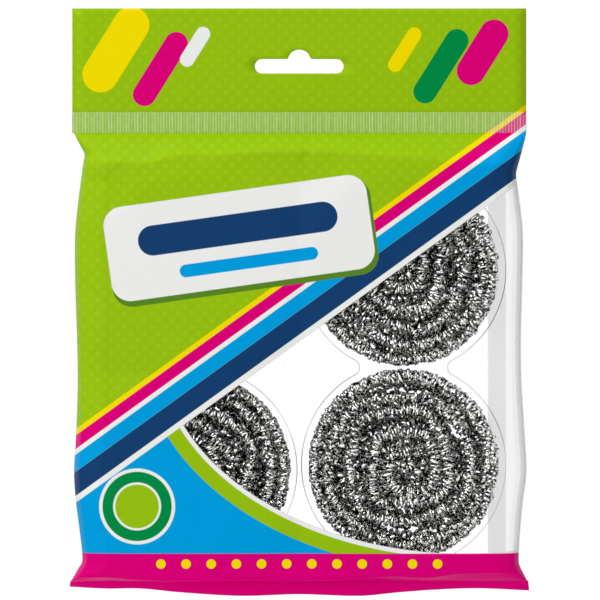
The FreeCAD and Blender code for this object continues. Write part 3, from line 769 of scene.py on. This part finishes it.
def tray_material():
    """Clear formed sheet, hardly seen, with painted shade: a dark line round the mouths of the wells, and a
    darkening where the sheet is seen edge-on, standing in for light bent by the sheet.
    """
    material, w, shader, place = new_material("clear_tray_sheet")
    grazing = w.add("ShaderNodeLayerWeight", {"Blend": 0.5}).outputs["Facing"]
    depth = w.add("ShaderNodeSeparateXYZ", {0: place}).outputs[1]
    fillet = bpy.context.scene.pack_tray.fillet
    # Painted shade: a dark line along the fillet at the wells' mouths, where it is seen edge-on
    lip = w.math("LESS_THAN", w.math("ABSOLUTE", w.math("SUBTRACT", depth, TRAY_LOW.y * MM + 0.7 * fillet)),
                 0.45 * fillet)
    seen = w.math("SUBTRACT", 1.0, w.add("ShaderNodeNewGeometry").outputs["Backfacing"])
    line = w.math("MULTIPLY", w.math("MULTIPLY", lip, seen), w.math("GREATER_THAN", grazing, 0.15))
    strength = w.math("MULTIPLY_ADD", w.noise(place, 38.0, 1.0), 2.6, -0.85, clamped=True)
    line = w.math("MULTIPLY", line, w.math("MULTIPLY_ADD", strength, 0.65, 0.3))
    painted_edge_shade = w.math("MULTIPLY_ADD", w.math("POWER", grazing, 8.0), 0.05, line)
    haze = w.math("MULTIPLY", w.noise(place, 120.0, 3.0), 0.006)
    # Dark grey of the painted shade
    tone = w.mix(w.noise(place, 60.0), (0.12, 0.125, 0.13, 1.0), (0.18, 0.185, 0.19, 1.0))
    w.fill(shader, {
        "Base Color": tone, "Alpha": w.math("ADD", painted_edge_shade, haze, clamped=True),
        "Roughness": w.math("MULTIPLY_ADD", w.noise(place, 200.0), 0.08, 0.05),
        "Normal": w.bump(w.noise(place, 45.0), 0.1, 0.3 * MM)})
    return material


def steel_material():
    """Bright rolled steel ribbon: glinting stretches, fine rolling lines, and painted shade in near-black
    stretches that stand in for the shade among the curls.
    """
    material, w, shader, place = new_material("rolled_steel_ribbon")
    steel = bpy.context.scene.pack_scourer.steel
    # Painted shade: where the noise is low the ribbon is painted near-black, standing in for shade among the
    # curls
    unshaded_share = w.math("MULTIPLY_ADD", w.noise(place, 950.0, 2.0, 0.6), 18.0, -8.0, clamped=True)
    lines = w.noise(w.vector("MULTIPLY", place, (1.0, 1.0, 3.0)), 2600.0, 1.0)
    painted_shade_tone = tuple(channel * 0.01 for channel in steel)
    w.fill(shader, {
        "Base Color": w.mix(unshaded_share, opaque(painted_shade_tone), opaque(steel)), "Metallic": 1.0,
        "Roughness": w.math("MULTIPLY_ADD", unshaded_share, -0.08, 0.17),
        "Normal": w.bump(lines, 0.15, 0.05 * MM)})
    return material


# Film of the pouch

# Half the width of the flat front and back, and the film's columns over them
PANEL_BORDER = 68.0
FRONT_COLUMNS, BACK_COLUMNS = 108, 72
# The front's print reaches round the sides to this depth
PRINT_END_Y = 3.0
# Half the depth of the pouch at its mouth and at its hem
MOUTH, HEM = 0.22, 0.36
# A scourer holds the film up to this radius, and the film sinks beyond it
SCOURER_HOLD = 33.5
# Rows along the two creases, and where the closer rows beside them end
SHOULDER_LEVEL, FOOT_LEVEL = -34.0, -182.0
SHOULDER_END, FOOT_START = -44.0, -172.0


def fold_depth(x, z):
    """How deep the creases lie at a place on the front."""
    depth = 0.0
    for x0, z0, x1, z1, half, deep in FRONT_FOLDS:
        run_x, run_z = x1 - x0, z1 - z0
        share = ((x - x0) * run_x + (z - z0) * run_z) / (run_x ** 2 + run_z ** 2)
        if -0.2 < share < 1.2:
            away = math.hypot(x - x0 - run_x * share, z - z0 - run_z * share)
            depth += deep * max(1.0 - away / half, 0.0) ** 2 * ease(1.2 * math.sin(math.pi * clamp(share)))
    return depth


def film_depth(x, z, front):
    """Depth of the film in front of, or behind, the pack's middle plane."""
    film = bpy.context.scene.pack_film
    share = (CRIMP_LOW.z - z) / (CRIMP_LOW.z - through(SHOULDER_CREASE, x))
    shoulder = between(MOUTH, FULL_DEPTH, share)
    share = (z - SEAL_HIGH.z) / (through(FOOT_CREASE, x) - SEAL_HIGH.z)
    foot = between(HEM, FULL_DEPTH, share)
    depth = soft_least(FULL_DEPTH, min(shoulder, foot), 1.0)
    if front:
        outside = min(math.hypot(x - at.x, z - at.z) for at in SCOURERS.values()) - SCOURER_HOLD
        sink = film.sag / MM * ease(outside / 15.0) + fold_depth(x, z)
        sink += 0.12 * (1.0 + noise.noise(Vector((x * 0.09, 1.0, z * 0.06))))
        # Near the mouth and the hem the film is drawn tight
        depth -= sink * ease((depth - 4.0) / 8.0)
    return max(depth, MOUTH)


def side_curve(side, z):
    """Points round one side of the pouch, from the front's border to the back's, creased like folded film."""
    film = bpy.context.scene.pack_film
    border = side * PANEL_BORDER
    reach = through(POUCH_REACH, z, 1 if side < 0 else 2)
    front, back = film_depth(border, z, True), film_depth(border, z, False)
    front_round = min(film.front_round / MM, 0.8 * front)
    back_round = min(film.back_round / MM, 0.8 * back)
    run = [Vector((border, -front, z))]
    for middle_y, radius, turns in ((front_round - front, front_round, (-90, -55, -38, 0)),
                                    (back - back_round, back_round, (0, 22, 45, 68, 90))):
        for turn in turns:
            angle = math.radians(turn)
            run.append(Vector((side * (reach - radius + radius * math.cos(angle)),
                               middle_y + radius * math.sin(angle), z)))
    run.append(Vector((border, back, z)))
    return run


def pouch_rows():
    """Heights of the rows before they follow the creases, closer together at the shoulder and the foot."""
    top, bottom = CRIMP_LOW.z, SEAL_HIGH.z
    marks = ((top, SHOULDER_LEVEL, 14), (SHOULDER_LEVEL, SHOULDER_END, 12), (SHOULDER_END, FOOT_START, 72),
             (FOOT_START, FOOT_LEVEL, 12), (FOOT_LEVEL, bottom + 0.06, 8), (bottom + 0.06, bottom, 1))
    rows = [top]
    for start, end, count in marks:
        rows += [between(start, end, step / count) for step in range(1, count + 1)]
    return rows


def row_height(x, z):
    """Height of a row at a place across the pouch: one row runs along each crease."""
    top, level_top, level_end, bottom = CRIMP_LOW.z, -60.0, -165.0, SEAL_HIGH.z
    levels = (top, SHOULDER_LEVEL, level_top, level_end, FOOT_LEVEL, bottom)
    heights = (top, through(SHOULDER_CREASE, x), level_top, level_end, through(FOOT_CREASE, x), bottom)
    for start, end, high, low in zip(levels, levels[1:], heights, heights[1:]):
        if z >= end:
            return between(high, low, (start - z) / (start - end))
    return bottom


def film_point(x, z, front):
    """A point of the film's front or back."""
    height = row_height(x, z)
    depth = film_depth(x, height, front)
    return Vector((x, -depth if front else depth, height))


def ring_at(z):
    """Once round the pouch along one row, starting and ending at the middle of the back."""
    border, half = PANEL_BORDER, BACK_COLUMNS // 2
    ring = [film_point(-border * step / half, z, False) for step in range(half)]
    ring += creased(side_curve(-1, row_height(-border, z))[::-1])
    ring += [film_point(between(-border, border, step / FRONT_COLUMNS), z, True)
             for step in range(FRONT_COLUMNS)]
    ring += creased(side_curve(1, row_height(border, z)))
    ring += [film_point(border * (1.0 - step / half), z, False) for step in range(half + 1)]
    return ring


class PACK_OT_pouch_film(bpy.types.Operator):
    """Make the film tube of the pouch, printed outside, lined white and clear in its window"""

    bl_idname = "pack.pouch_film"
    bl_label = "Pouch film"

    def execute(self, context):
        film = context.scene.pack_film
        rings = [ring_at(z) for z in pouch_rows()]
        bm = shaped_grid(len(rings[0]) - 1, len(rings) - 1, lambda i, j: rings[j][i])
        bmesh.ops.remove_doubles(bm, verts=bm.verts, dist=0.01 * MM)
        face_out(bm, lambda tube: max(tube.verts, key=lambda vertex: vertex.co.x).normal.x < 0.0)
        materials = [
            film_material("printed_front_film", front_print),
            film_material("printed_back_film", back_print),
            film_material("front_film_lining", front_print, lining=True),
            film_material("back_film_lining", back_print, lining=True)]
        piece = make_piece(bm, "pouch_film", materials, lambda at: 0 if at.y < PRINT_END_Y else 1)
        thicken(piece, film.thickness, -1.0, lining=2)
        settle(piece, "pouch", "printed_film", "front_panel", "back_panel", "left_gusset", "right_gusset")
        return {"FINISHED"}


# Header, fold and seals

# Steps along and up the header's outline, and cuts from there to the slot
HEADER_ALONG, HEADER_UP, HEADER_CUTS = 42, 14, 14
STRIP_COLUMNS, CRIMP_COLUMNS = 80, 624
FOOT_COLUMNS, FOOT_ROWS = 132, 8
SEAM_COLUMNS, SEAM_ROWS = 12, 96
# How far the fold's strip, the crimp and the foot's seal reach under what they join
STRIP_TUCK, CRIMP_TUCK, FOOT_TUCK = 0.35, 0.2, 0.5
# How far the foot's edge leans back
FOOT_LEAN = 2.4


def header_wave(x, z):
    """How far the header's film leans out of flat: nothing at the fold, most at the top edge."""
    return 0.45 * ease((z - FOLD_Z) / 37.0) * noise.noise(Vector((x * 0.022, 5.0, 0.0)))


def slot_loop(count):
    """The hang slot's outline, evenly spaced: straight with round ends and a hump in the middle."""
    end_x, half, hump, lift = 13.4, 2.6, 4.2, 1.8
    tuck = math.asin((half - lift) / hump)
    run = arc_points(end_x, 0.0, half, -math.pi / 2, math.pi / 2, 12)
    run += arc_points(0.0, lift, hump, tuck, math.pi - tuck, 16)
    run += arc_points(-end_x, 0.0, half, math.pi / 2, 3 * math.pi / 2, 12)
    return along(run + run[:1], count)[:-1]


def header_loop():
    """The header's outline, from its lower right corner."""
    low, high = HEADER_LOW, HEADER_HIGH
    corners = [Vector((high.x, 0, low.z)), Vector((high.x, 0, high.z)), Vector((low.x, 0, high.z)),
               Vector((low.x, 0, low.z))]
    loop = []
    for start, end, count in zip(corners, corners[1:] + corners[:1], (HEADER_UP, HEADER_ALONG) * 2):
        loop += [start.lerp(end, step / count) for step in range(count)]
    return loop


def header_ply(side):
    """One ply of the header, cut out round the hang slot; side is -1 for the front."""
    ply = bpy.context.scene.pack_film.thickness / MM
    bm = bmesh.new()
    outline = header_loop()
    edges = ring_edges(bm, slot_loop(len(outline))) + ring_edges(bm, outline)
    across = bmesh.ops.bridge_loops(bm, edges=edges)["edges"]
    bmesh.ops.subdivide_edges(bm, edges=across, cuts=HEADER_CUTS, use_grid_fill=True)
    for vertex in bm.verts:
        at = vertex.co / MM
        vertex.co.y = (header_wave(at.x, at.z) + side * ply) * MM
    face_out(bm, lambda sheet: backward(sheet) * side < 0.0)
    return bm


class PACK_OT_header(bpy.types.Operator):
    """Make the header's two plies with the hang slot, and the strip of film at the fold"""

    bl_idname = "pack.header"
    bl_label = "Header"

    def execute(self, context):
        film = context.scene.pack_film
        front = film_material("header_front_print", front_print)
        lining = film_material("header_lining", front_print, lining=True)
        for side, name, node in ((-1, "header_front_film", "header_front_ply"),
                                 (1, "header_back_film", "header_back_ply")):
            piece = make_piece(header_ply(side), name, [front, lining])
            thicken(piece, film.thickness, -1.0, lining=1)
            settle(piece, "header", "printed_film", node)
        top, bottom = FOLD_Z, CRIMP_HIGH.z - STRIP_TUCK
        rows = edge_rows(4)
        bm = shaped_grid(STRIP_COLUMNS, len(rows) - 1, lambda i, j: (
            between(HEADER_LOW.x, HEADER_HIGH.x, i / STRIP_COLUMNS), 0.0, between(bottom, top, rows[j])))
        strip = make_piece(bm, "fold_strip", [film_material("fold_print", front_print, crimped=True)])
        thicken(strip, 2.1 * film.thickness, 0.0)
        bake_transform(strip)
        return {"FINISHED"}


def crimp_wave(x):
    """The crimp's ribs: broad ones at the pitch, with finer ones between them."""
    pitch = bpy.context.scene.pack_film.crimp_pitch / MM
    return 0.07 * math.cos(2 * math.pi * x / pitch) + 0.05 * math.cos(2 * math.pi * x / (pitch / 3.0))


class PACK_OT_seals(bpy.types.Operator):
    """Make the ribbed crimp under the header, the foot seal and the folded seam on the back"""

    bl_idname = "pack.seals"
    bl_label = "Seals"

    def execute(self, context):
        film = context.scene.pack_film
        low, high = CRIMP_LOW, CRIMP_HIGH
        rows = edge_rows(10)

        def crimp_place(i, j):
            x = between(low.x, high.x, i / CRIMP_COLUMNS)
            z = between(low.z - CRIMP_TUCK, high.z, rows[j])
            return x, crimp_wave(x) * ease((high.z - z) / 0.8), z

        crimp = make_piece(shaped_grid(CRIMP_COLUMNS, len(rows) - 1, crimp_place), "crimped_band",
                           [film_material("crimped_print", front_print, crimped=True)])
        thicken(crimp, 2.0 * film.thickness, 0.0)
        settle(crimp, "pouch", "band_film", "crimp_seal")

        def foot_place(i, j):
            down = 1.0 - j / FOOT_ROWS
            x = between(BOTTOM_EDGE[0][0], BOTTOM_EDGE[-1][0], i / FOOT_COLUMNS)
            z = between(SEAL_HIGH.z + FOOT_TUCK, through(BOTTOM_EDGE, x), down)
            lean = FOOT_LEAN * down ** 1.4 * (1.0 + 0.5 * noise.noise(Vector((x * 0.04, 2.0, 0.0))))
            return x * (1.0 - 0.004 * ease(1.0 - down)), lean, z

        foot = make_piece(shaped_grid(FOOT_COLUMNS, FOOT_ROWS, foot_place), "foot_seal",
                          [film_material("foot_seal_print", front_print)])
        thicken(foot, 2.0 * film.thickness, 0.0)
        settle(foot, "pouch", "band_film", "bottom_seal")

        def seam_place(i, j):
            x = between(SEAM_LOW.x, SEAM_HIGH.x, i / SEAM_COLUMNS)
            z = between(SEAM_LOW.z, SEAM_HIGH.z, j / SEAM_ROWS)
            loose = 0.7 + 0.3 * noise.noise(Vector((4.0, 0.0, z * 0.05)))
            lift = 0.08 + 0.5 * ease(i / SEAM_COLUMNS) * loose
            return x, film_depth(0.0, z, False) + lift, z

        bm = shaped_grid(SEAM_COLUMNS, SEAM_ROWS, seam_place)
        bmesh.ops.reverse_faces(bm, faces=bm.faces)
        seam = make_piece(bm, "back_fin_seam", [film_material("back_seam_print", back_print, sheen=0.08)])
        thicken(seam, film.thickness, 0.0)
        settle(seam, "pouch", "back_film", "back_seam")
        return {"FINISHED"}


# Tray

FLANGE_CORNER = 38.1
ROUND_STEPS, WAIST_STEPS, CORNER_STEPS = 84, 16, 28


def well_loop(column, radius, waist):
    """A figure-eight round the two scourers of the left or right column."""
    upper, lower = SCOURERS[f"upper_{column}"], SCOURERS[f"lower_{column}"]
    middle = (upper.z + lower.z) / 2.0
    half = (upper.z - lower.z) / 2.0
    offset = math.sqrt((radius + waist) ** 2 - half ** 2)
    lean = math.atan2(half, offset)
    run = arc_points(upper.x, upper.z, radius, -lean, math.pi + lean, ROUND_STEPS)
    run += arc_points(upper.x - offset, middle, waist, lean, -lean, WAIST_STEPS)[1:-1]
    run += arc_points(lower.x, lower.z, radius, math.pi - lean, 2 * math.pi + lean, ROUND_STEPS)
    run += arc_points(upper.x + offset, middle, waist, math.pi + lean, math.pi - lean, WAIST_STEPS)[1:-1]
    return run


def flange_loop():
    """The tray's outer edge, with its wide corners."""
    low, high, radius = TRAY_LOW, TRAY_HIGH, FLANGE_CORNER
    corners = ((high.x - radius, high.z - radius, 0.0), (low.x + radius, high.z - radius, 0.5),
               (low.x + radius, low.z + radius, 1.0), (high.x - radius, low.z + radius, 1.5))
    run = []
    for x, z, start in corners:
        run += arc_points(x, z, radius, math.pi * start, math.pi * (start + 0.5), CORNER_STEPS)
    return run


def well_profile(tray):
    """Steps from a well's mouth to its floor: how much narrower than the mouth, and at which depth."""
    fillet, draft = tray.fillet / MM, tray.draft / MM
    front, back = TRAY_LOW.y, TRAY_HIGH.y - tray.sheet / MM
    steps = [(-fillet, front)]
    for step in range(1, 5):
        turn = math.pi / 8 * step
        steps.append((-fillet * (1 - math.sin(turn)), front + fillet * (1 - math.cos(turn))))
    for share in (0.25, 0.5, 0.75, 1.0):
        steps.append((draft * share, between(front + fillet, back - 2 * fillet, share)))
    for step in range(1, 6):
        turn = math.pi / 10 * step
        steps.append((draft + 2 * fillet * (1 - math.cos(turn)), back - 2 * fillet * (1 - math.sin(turn))))
    return steps


def at_depth(points, depth):
    return [Vector((point.x, depth, point.z)) for point in points]


class PACK_OT_tray(bpy.types.Operator):
    """Make the clear formed tray: a flange with rounded mouths, drafted walls and floors"""

    bl_idname = "pack.tray"
    bl_label = "Tray"

    def execute(self, context):
        tray = context.scene.pack_tray
        well, waist = tray.well_radius / MM, tray.waist_radius / MM
        bm = bmesh.new()
        rim = ring_edges(bm, at_depth(flange_loop(), TRAY_LOW.y))
        mouths = []
        for column in ("left", "right"):
            rings = [ring_edges(bm, at_depth(well_loop(column, well - narrow, waist + narrow), depth))
                     for narrow, depth in well_profile(tray)]
            for first, second in zip(rings, rings[1:]):
                bmesh.ops.bridge_loops(bm, edges=first + second)
            bmesh.ops.triangle_fill(bm, edges=rings[-1], use_beauty=True)
            mouths += rings[0]
        bmesh.ops.triangle_fill(bm, edges=rim + mouths, use_beauty=True)
        face_out(bm, lambda sheet: backward(sheet) > 0.0)
        piece = make_piece(bm, "clear_tray", [tray_material()])
        thicken(piece, tray.sheet, -1.0)
        settle(piece, "pouch", "clear_sheet", "tray")
        return {"FINISHED"}


# Scourers

# How far each scourer is turned in its well, as a share of a full turn
WELL_TURNS = {"upper_left": 0.55, "upper_right": 0.1, "lower_left": 0.3, "lower_right": 0.85}
# Turns that the strand takes to climb a layer, and points on each of its turns
CLIMB = 0.5
TURN_POINTS = 40
CORE_TURNS, CORE_POINTS = 5.4, 180
RIM_TURNS = 2
# The rim's filling turns have this many times the step between curls
RIM_STRETCH = 1.8
CURL_STEPS = 7
# Curls are flattened to this share of their height
CURL_FLAT = 0.65
# Curls turn from neat to tangled over this reach, from this radius
TANGLE_RADIUS, TANGLE_REACH = 14.0, 10.0
# Farthest that a ribbon's edges reach from the axis
SCOURER_REACH = 34.7
# How far inside that reach a ribbon's middle stays, in the front and back layers and between them
FACE_INSET, INNER_INSET = 0.2, 1.2
# A ribbon between the front and back layers is so many times wider
INNER_WIDTH = 2.9


def round_point(radius, turn, level):
    """A point at a radius from the scourer's axis, so many turns round it."""
    angle = 2.0 * math.pi * turn
    return Vector((radius * math.cos(angle), radius * math.sin(angle), level))


def strand_place(turn, scourer):
    """A point on the strand: in from the rim and out again, layer by layer, as the CAD winds it."""
    core, rim, pitch = scourer.core_loop / MM, scourer.rim_loop / MM, scourer.loop_pitch / MM
    turns, layers = scourer.turns, scourer.layers
    layer = min(int(max(turn, 0.0) / (turns + CLIMB)), layers - 1)
    run = turn - layer * (turns + CLIMB)
    inward = layer % 2 == 0
    start, end = (rim, core) if inward else (core, rim)
    if run <= turns or layer == layers - 1:
        radius, level = between(start, end, clamp(run / turns)), float(layer)
        if layer == 1:
            # Shut the gaps that the other layers share
            radius -= 0.5 * pitch * ease(8.0 * run / turns) * ease(8.0 * (1.0 - run / turns))
    else:
        share = (run - turns) / CLIMB
        swing = 0.15 * pitch * math.sin(math.pi * share)
        radius = end - swing if inward else end + swing
        level = layer + (1.0 - math.cos(math.pi * share)) / 2.0
    return round_point(radius, turn, (level - (layers - 1) / 2.0) * pitch)


def strand_run(scourer, seed):
    """Points along a scourer's uneven strand, closed by one even turn at the rim in front and behind."""
    turns = scourer.layers * scourer.turns + (scourer.layers - 1) * CLIMB + 2.0
    count = int(turns * TURN_POINTS)
    rim = scourer.rim_loop / MM
    run = []
    for step in range(count + 1):
        turn = turns * step / count - 1.0
        point = strand_place(turn, scourer)
        drift = Vector((turn * 1.7, seed, 0.0))
        flat = Vector((point.x, point.y, 0.0))
        # The loops wander inside the rim, and neighbours wander together
        loose = 1.0 - ease((flat.length - rim + 9.0) / 7.0)
        field = flat * 0.065 + Vector((seed, 2.0 * seed, 0.2 * point.z))
        beside = field + Vector((0.0, 0.0, 9.0))
        point += 4.5 * loose * Vector((noise.noise(field), noise.noise(beside), 0.0))
        point += flat.normalized() * 1.2 * noise.noise(drift) * loose
        point.z += 1.3 * noise.noise(drift + Vector((0.0, 0.0, 7.0))) * (0.4 + 0.6 * loose)
        run.append(point)
    return run


def core_run(scourer, seed):
    """Points along the short coil that fills the core."""
    half = (scourer.layers - 1) / 2.0 * scourer.loop_pitch / MM
    shares = [step / CORE_POINTS for step in range(CORE_POINTS + 1)]
    return [
        round_point(3.0 + 1.2 * math.sin(9.0 * share + seed), CORE_TURNS * share, between(-half, half, share))
        for share in shares]


def rim_run(scourer):
    """Points along the turns that fill the rim between the front and the back layer."""
    radius, half = scourer.rim_loop / MM - 0.8, 0.95 * scourer.loop_pitch / MM
    turns = [step / TURN_POINTS for step in range(RIM_TURNS * TURN_POINTS + 1)]
    return [round_point(radius, turn, between(-half, half, turn / RIM_TURNS)) for turn in turns]


def curl_strand(points, scourer, dice, stretch=1.0):
    """The two edges of a flat ribbon that curls along a strand: tangled at the rim, neat at the core."""
    marks = run_marks(points)
    width, pitch = scourer.ribbon_width / MM, scourer.loop_pitch / MM
    # Most depth of an edge, and the depth past which a layer is a face of the scourer
    depth = (scourer.layers - 1) / 2.0 * pitch + 2.6
    face = (scourer.layers - 2) / 2.0 * pitch

    def tangled(middle):
        """From 0 near the core to 1 near the rim."""
        return ease((math.hypot(middle.x, middle.y) - TANGLE_RADIUS) / TANGLE_REACH)

    def held(point, reach):
        """The point drawn in to a reach from the scourer's axis, and to its depth."""
        share = reach / max(math.hypot(point.x, point.y), reach)
        return Vector((point.x * share, point.y * share, clamp(point.z, -depth, depth)))

    def curl(middle, forward):
        """Axis, shove off the strand's middle, radius and twist of one curl."""
        tangle = tangled(middle)
        size = between(scourer.core_curl, scourer.rim_curl, tangle) / MM
        room = scourer.strand_radius / MM - size + 0.3 - 0.75 * tangle
        if abs(middle.z) < face:
            size, room = scourer.core_curl / MM, 2.0
        loose = 0.25 + max(0.45 * tangle, 0.85 - 0.17 * math.hypot(middle.x, middle.y))
        axis = forward + Vector(dice.uniform(-1.0, 1.0) for _ in range(3)) * loose
        shove = Vector(dice.uniform(-1.0, 1.0) for _ in range(3)) * room
        return axis.normalized(), shove, size * dice.uniform(0.75, 1.15), dice.uniform(-0.4, 0.4)

    edges = []
    mark, index, step = 0.0, 0, 0
    forward = (points[1] - points[0]).normalized()
    now = then = curl(points[0], forward)
    while mark < marks[-1]:
        while marks[index + 1] < mark:
            index += 1
        before, after = points[index], points[index + 1]
        middle = before.lerp(after, (mark - marks[index]) / (marks[index + 1] - marks[index]))
        forward = (after - before).normalized()
        if step % CURL_STEPS == 0:
            now, then = then, curl(middle, forward)
        turned = step % CURL_STEPS / CURL_STEPS
        axis = now[0].lerp(then[0], turned).normalized()
        shove = now[1].lerp(then[1], turned)
        radius, twist = (between(*ends, turned) for ends in zip(now[2:], then[2:]))
        out = (Vector((0.0, 0.0, 1.0)) - axis * axis.z).normalized()
        side = out.cross(axis)
        angle = 2.0 * math.pi * turned
        away = side * math.cos(angle) + out * math.sin(angle)
        inner = abs(middle.z) < face
        place = middle + shove + (side * math.cos(angle) + out * CURL_FLAT * math.sin(angle)) * radius
        place = held(place, SCOURER_REACH - (INNER_INSET if inner else FACE_INSET))
        across = axis * math.cos(twist) + away * math.sin(twist)
        half = across * (INNER_WIDTH * width if inner else width) / 2.0
        edges.append((held(place - half, SCOURER_REACH), held(place + half, SCOURER_REACH)))
        step += 1
        curl_step = scourer.front_step if middle.z > face else (
            scourer.back_step if middle.z < -face else scourer.inner_step)
        mark += stretch * curl_step / MM * (2.0 - tangled(middle)) / CURL_STEPS
    return edges


class PACK_OT_scourers(bpy.types.Operator):
    """Wind the four scourers, each from one strand of curled flat steel ribbon"""

    bl_idname = "pack.scourers"
    bl_label = "Scourers"

    def execute(self, context):
        scourer = context.scene.pack_scourer
        steel = steel_material()
        for number, (name, middle) in enumerate(SCOURERS.items()):
            seed = scourer.seed + number
            dice = random.Random(seed)
            bm = bmesh.new()
            for points, stretch in ((strand_run(scourer, seed), 1.0), (core_run(scourer, seed), 1.0),
                                    (rim_run(scourer), RIM_STRETCH)):
                edges = curl_strand(points, scourer, dice, stretch)
                shaped_grid(len(edges) - 1, 1, lambda i, j: edges[i][j], bm)
            spin = Matrix.Rotation(2.0 * math.pi * WELL_TURNS[name], 4, "Z")
            lay = Matrix.Translation(middle * MM) @ Matrix.Rotation(math.pi / 2.0, 4, "X") @ spin
            bmesh.ops.transform(bm, matrix=lay, verts=bm.verts)
            piece = make_piece(bm, f"{name}_wound_scourer", [steel])
            thicken(piece, scourer.ribbon_thickness, 0.0)
            settle(piece, f"{name}_scourer", "steel_ribbon", f"scourer_{name}")
        return {"FINISHED"}


# Stage

# In metres: middle of the picture, places of the two lights, side of their squares, half the floor's side
PICTURE_MIDDLE = Vector((0.00027, 0.0, -0.08415))
KEY_PLACE, TOP_PLACE = Vector((-0.7, -1.45, 0.02)), Vector((-0.4, -0.25, 1.45))
LIGHT_SIDE = 1.1
FLOOR_HALF = 1.2
WHITE = (1.0, 1.0, 1.0, 1.0)


class PACK_OT_stage(bpy.types.Operator):
    """Set the floor, the even white surroundings, two soft lights and the camera"""

    bl_idname = "pack.stage"
    bl_label = "Stage"

    def execute(self, context):
        scene, stage = context.scene, context.scene.pack_stage
        self.make_floor(scene, cad_low.z - stage.floor_drop)
        self.make_world(scene, stage.ambient)
        self.make_light(scene, "key_light", KEY_PLACE, stage.key_power)
        self.make_light(scene, "top_light", TOP_PLACE, stage.top_power)
        lens = bpy.data.cameras.new("camera")
        lens.lens = lens.sensor_width * stage.camera_distance / stage.frame_height
        lens.clip_end = 50.0
        camera = bpy.data.objects.new("camera", lens)
        camera.location = PICTURE_MIDDLE + Vector((0.0, -stage.camera_distance, 0.0))
        camera.rotation_euler = (math.pi / 2.0, 0.0, 0.0)
        scene.collection.objects.link(camera)
        scene.camera = camera
        scene.view_settings.view_transform = "Standard"
        # A ray through the bag crosses many clear walls
        scene.cycles.transparent_max_bounces = 64
        return {"FINISHED"}

    def make_floor(self, scene, level):
        bm = bmesh.new()
        bmesh.ops.create_grid(bm, x_segments=4, y_segments=4, size=FLOOR_HALF)
        bmesh.ops.translate(bm, verts=bm.verts, vec=(0.0, 0.0, level))
        material, w, shader, place = new_material("pale_floor")
        tone = w.mix(w.noise(place, 9.0), (0.86, 0.86, 0.85, 1.0), (0.90, 0.90, 0.89, 1.0))
        w.fill(shader, {"Base Color": tone, "Roughness": 0.7})
        under = w.add("ShaderNodeNewGeometry").outputs["Backfacing"]
        see_through = w.add("ShaderNodeBsdfTransparent").outputs[0]
        both = w.add("ShaderNodeMixShader", {0: under, 1: shader.outputs[0], 2: see_through})
        output = next(node for node in material.node_tree.nodes if node.type == "OUTPUT_MATERIAL")
        w.feed(output.inputs["Surface"], both.outputs[0])
        make_piece(bm, "floor", [material])

    def make_world(self, scene, ambient):
        world = bpy.data.worlds.new("white_surroundings")
        world.use_nodes = True
        scene.world = world
        w = Wiring(world.node_tree)
        world.node_tree.nodes.clear()
        rays = w.add("ShaderNodeLightPath").outputs
        seen = w.math("MAXIMUM", rays["Is Camera Ray"], rays["Is Glossy Ray"])
        seen = w.math("MAXIMUM", seen, rays["Is Transmission Ray"])
        even, bright = (w.add("ShaderNodeBackground", {"Color": WHITE, "Strength": strength}).outputs[0]
                        for strength in (ambient, 1.0))
        both = w.add("ShaderNodeMixShader", {0: seen, 1: even, 2: bright})
        output = w.add("ShaderNodeOutputWorld")
        w.feed(output.inputs["Surface"], both.outputs[0])

    def make_light(self, scene, name, place, power):
        lamp = bpy.data.lights.new(name, "AREA")
        lamp.shape = "SQUARE"
        lamp.size = LIGHT_SIDE
        lamp.energy = power
        light = bpy.data.objects.new(name, lamp)
        light.location = place
        light.rotation_euler = (PICTURE_MIDDLE - place).to_track_quat("-Z", "Y").to_euler()
        scene.collection.objects.link(light)


OPERATORS = (PACK_OT_stage, PACK_OT_pouch_film, PACK_OT_header, PACK_OT_seals, PACK_OT_tray, PACK_OT_scourers)
SETTINGS = {"pack_film": FilmSettings, "pack_scourer": ScourerSettings, "pack_tray": TraySettings,
            "pack_stage": StageSettings}


class PACK_PT_sidebar(bpy.types.Panel):
    """Sizes and colours of the pack, and a button for each group of pieces"""

    bl_idname = "PACK_PT_sidebar"
    bl_label = "Scourer pack"
    bl_space_type = "VIEW_3D"
    bl_region_type = "UI"
    bl_category = "Scourer pack"

    def draw(self, context):
        layout = self.layout
        for name, group in SETTINGS.items():
            box = layout.box()
            settings = getattr(context.scene, name)
            for field in group.__annotations__:
                box.prop(settings, field)
        for operator in OPERATORS:
            layout.operator(operator.bl_idname)


def register():
    for group in (*SETTINGS.values(), *OPERATORS, PACK_PT_sidebar):
        bpy.utils.register_class(group)
    for name, group in SETTINGS.items():
        setattr(bpy.types.Scene, name, PointerProperty(type=group))


def unregister():
    for name in SETTINGS:
        delattr(bpy.types.Scene, name)
    for group in (PACK_PT_sidebar, *OPERATORS[::-1], *list(SETTINGS.values())[::-1]):
        bpy.utils.unregister_class(group)


def main():
    register()
    bpy.ops.pack.stage()
    bpy.ops.pack.pouch_film()
    bpy.ops.pack.header()
    bpy.ops.pack.seals()
    bpy.ops.pack.tray()
    bpy.ops.pack.scourers()


if __name__ == "__main__":
    main()
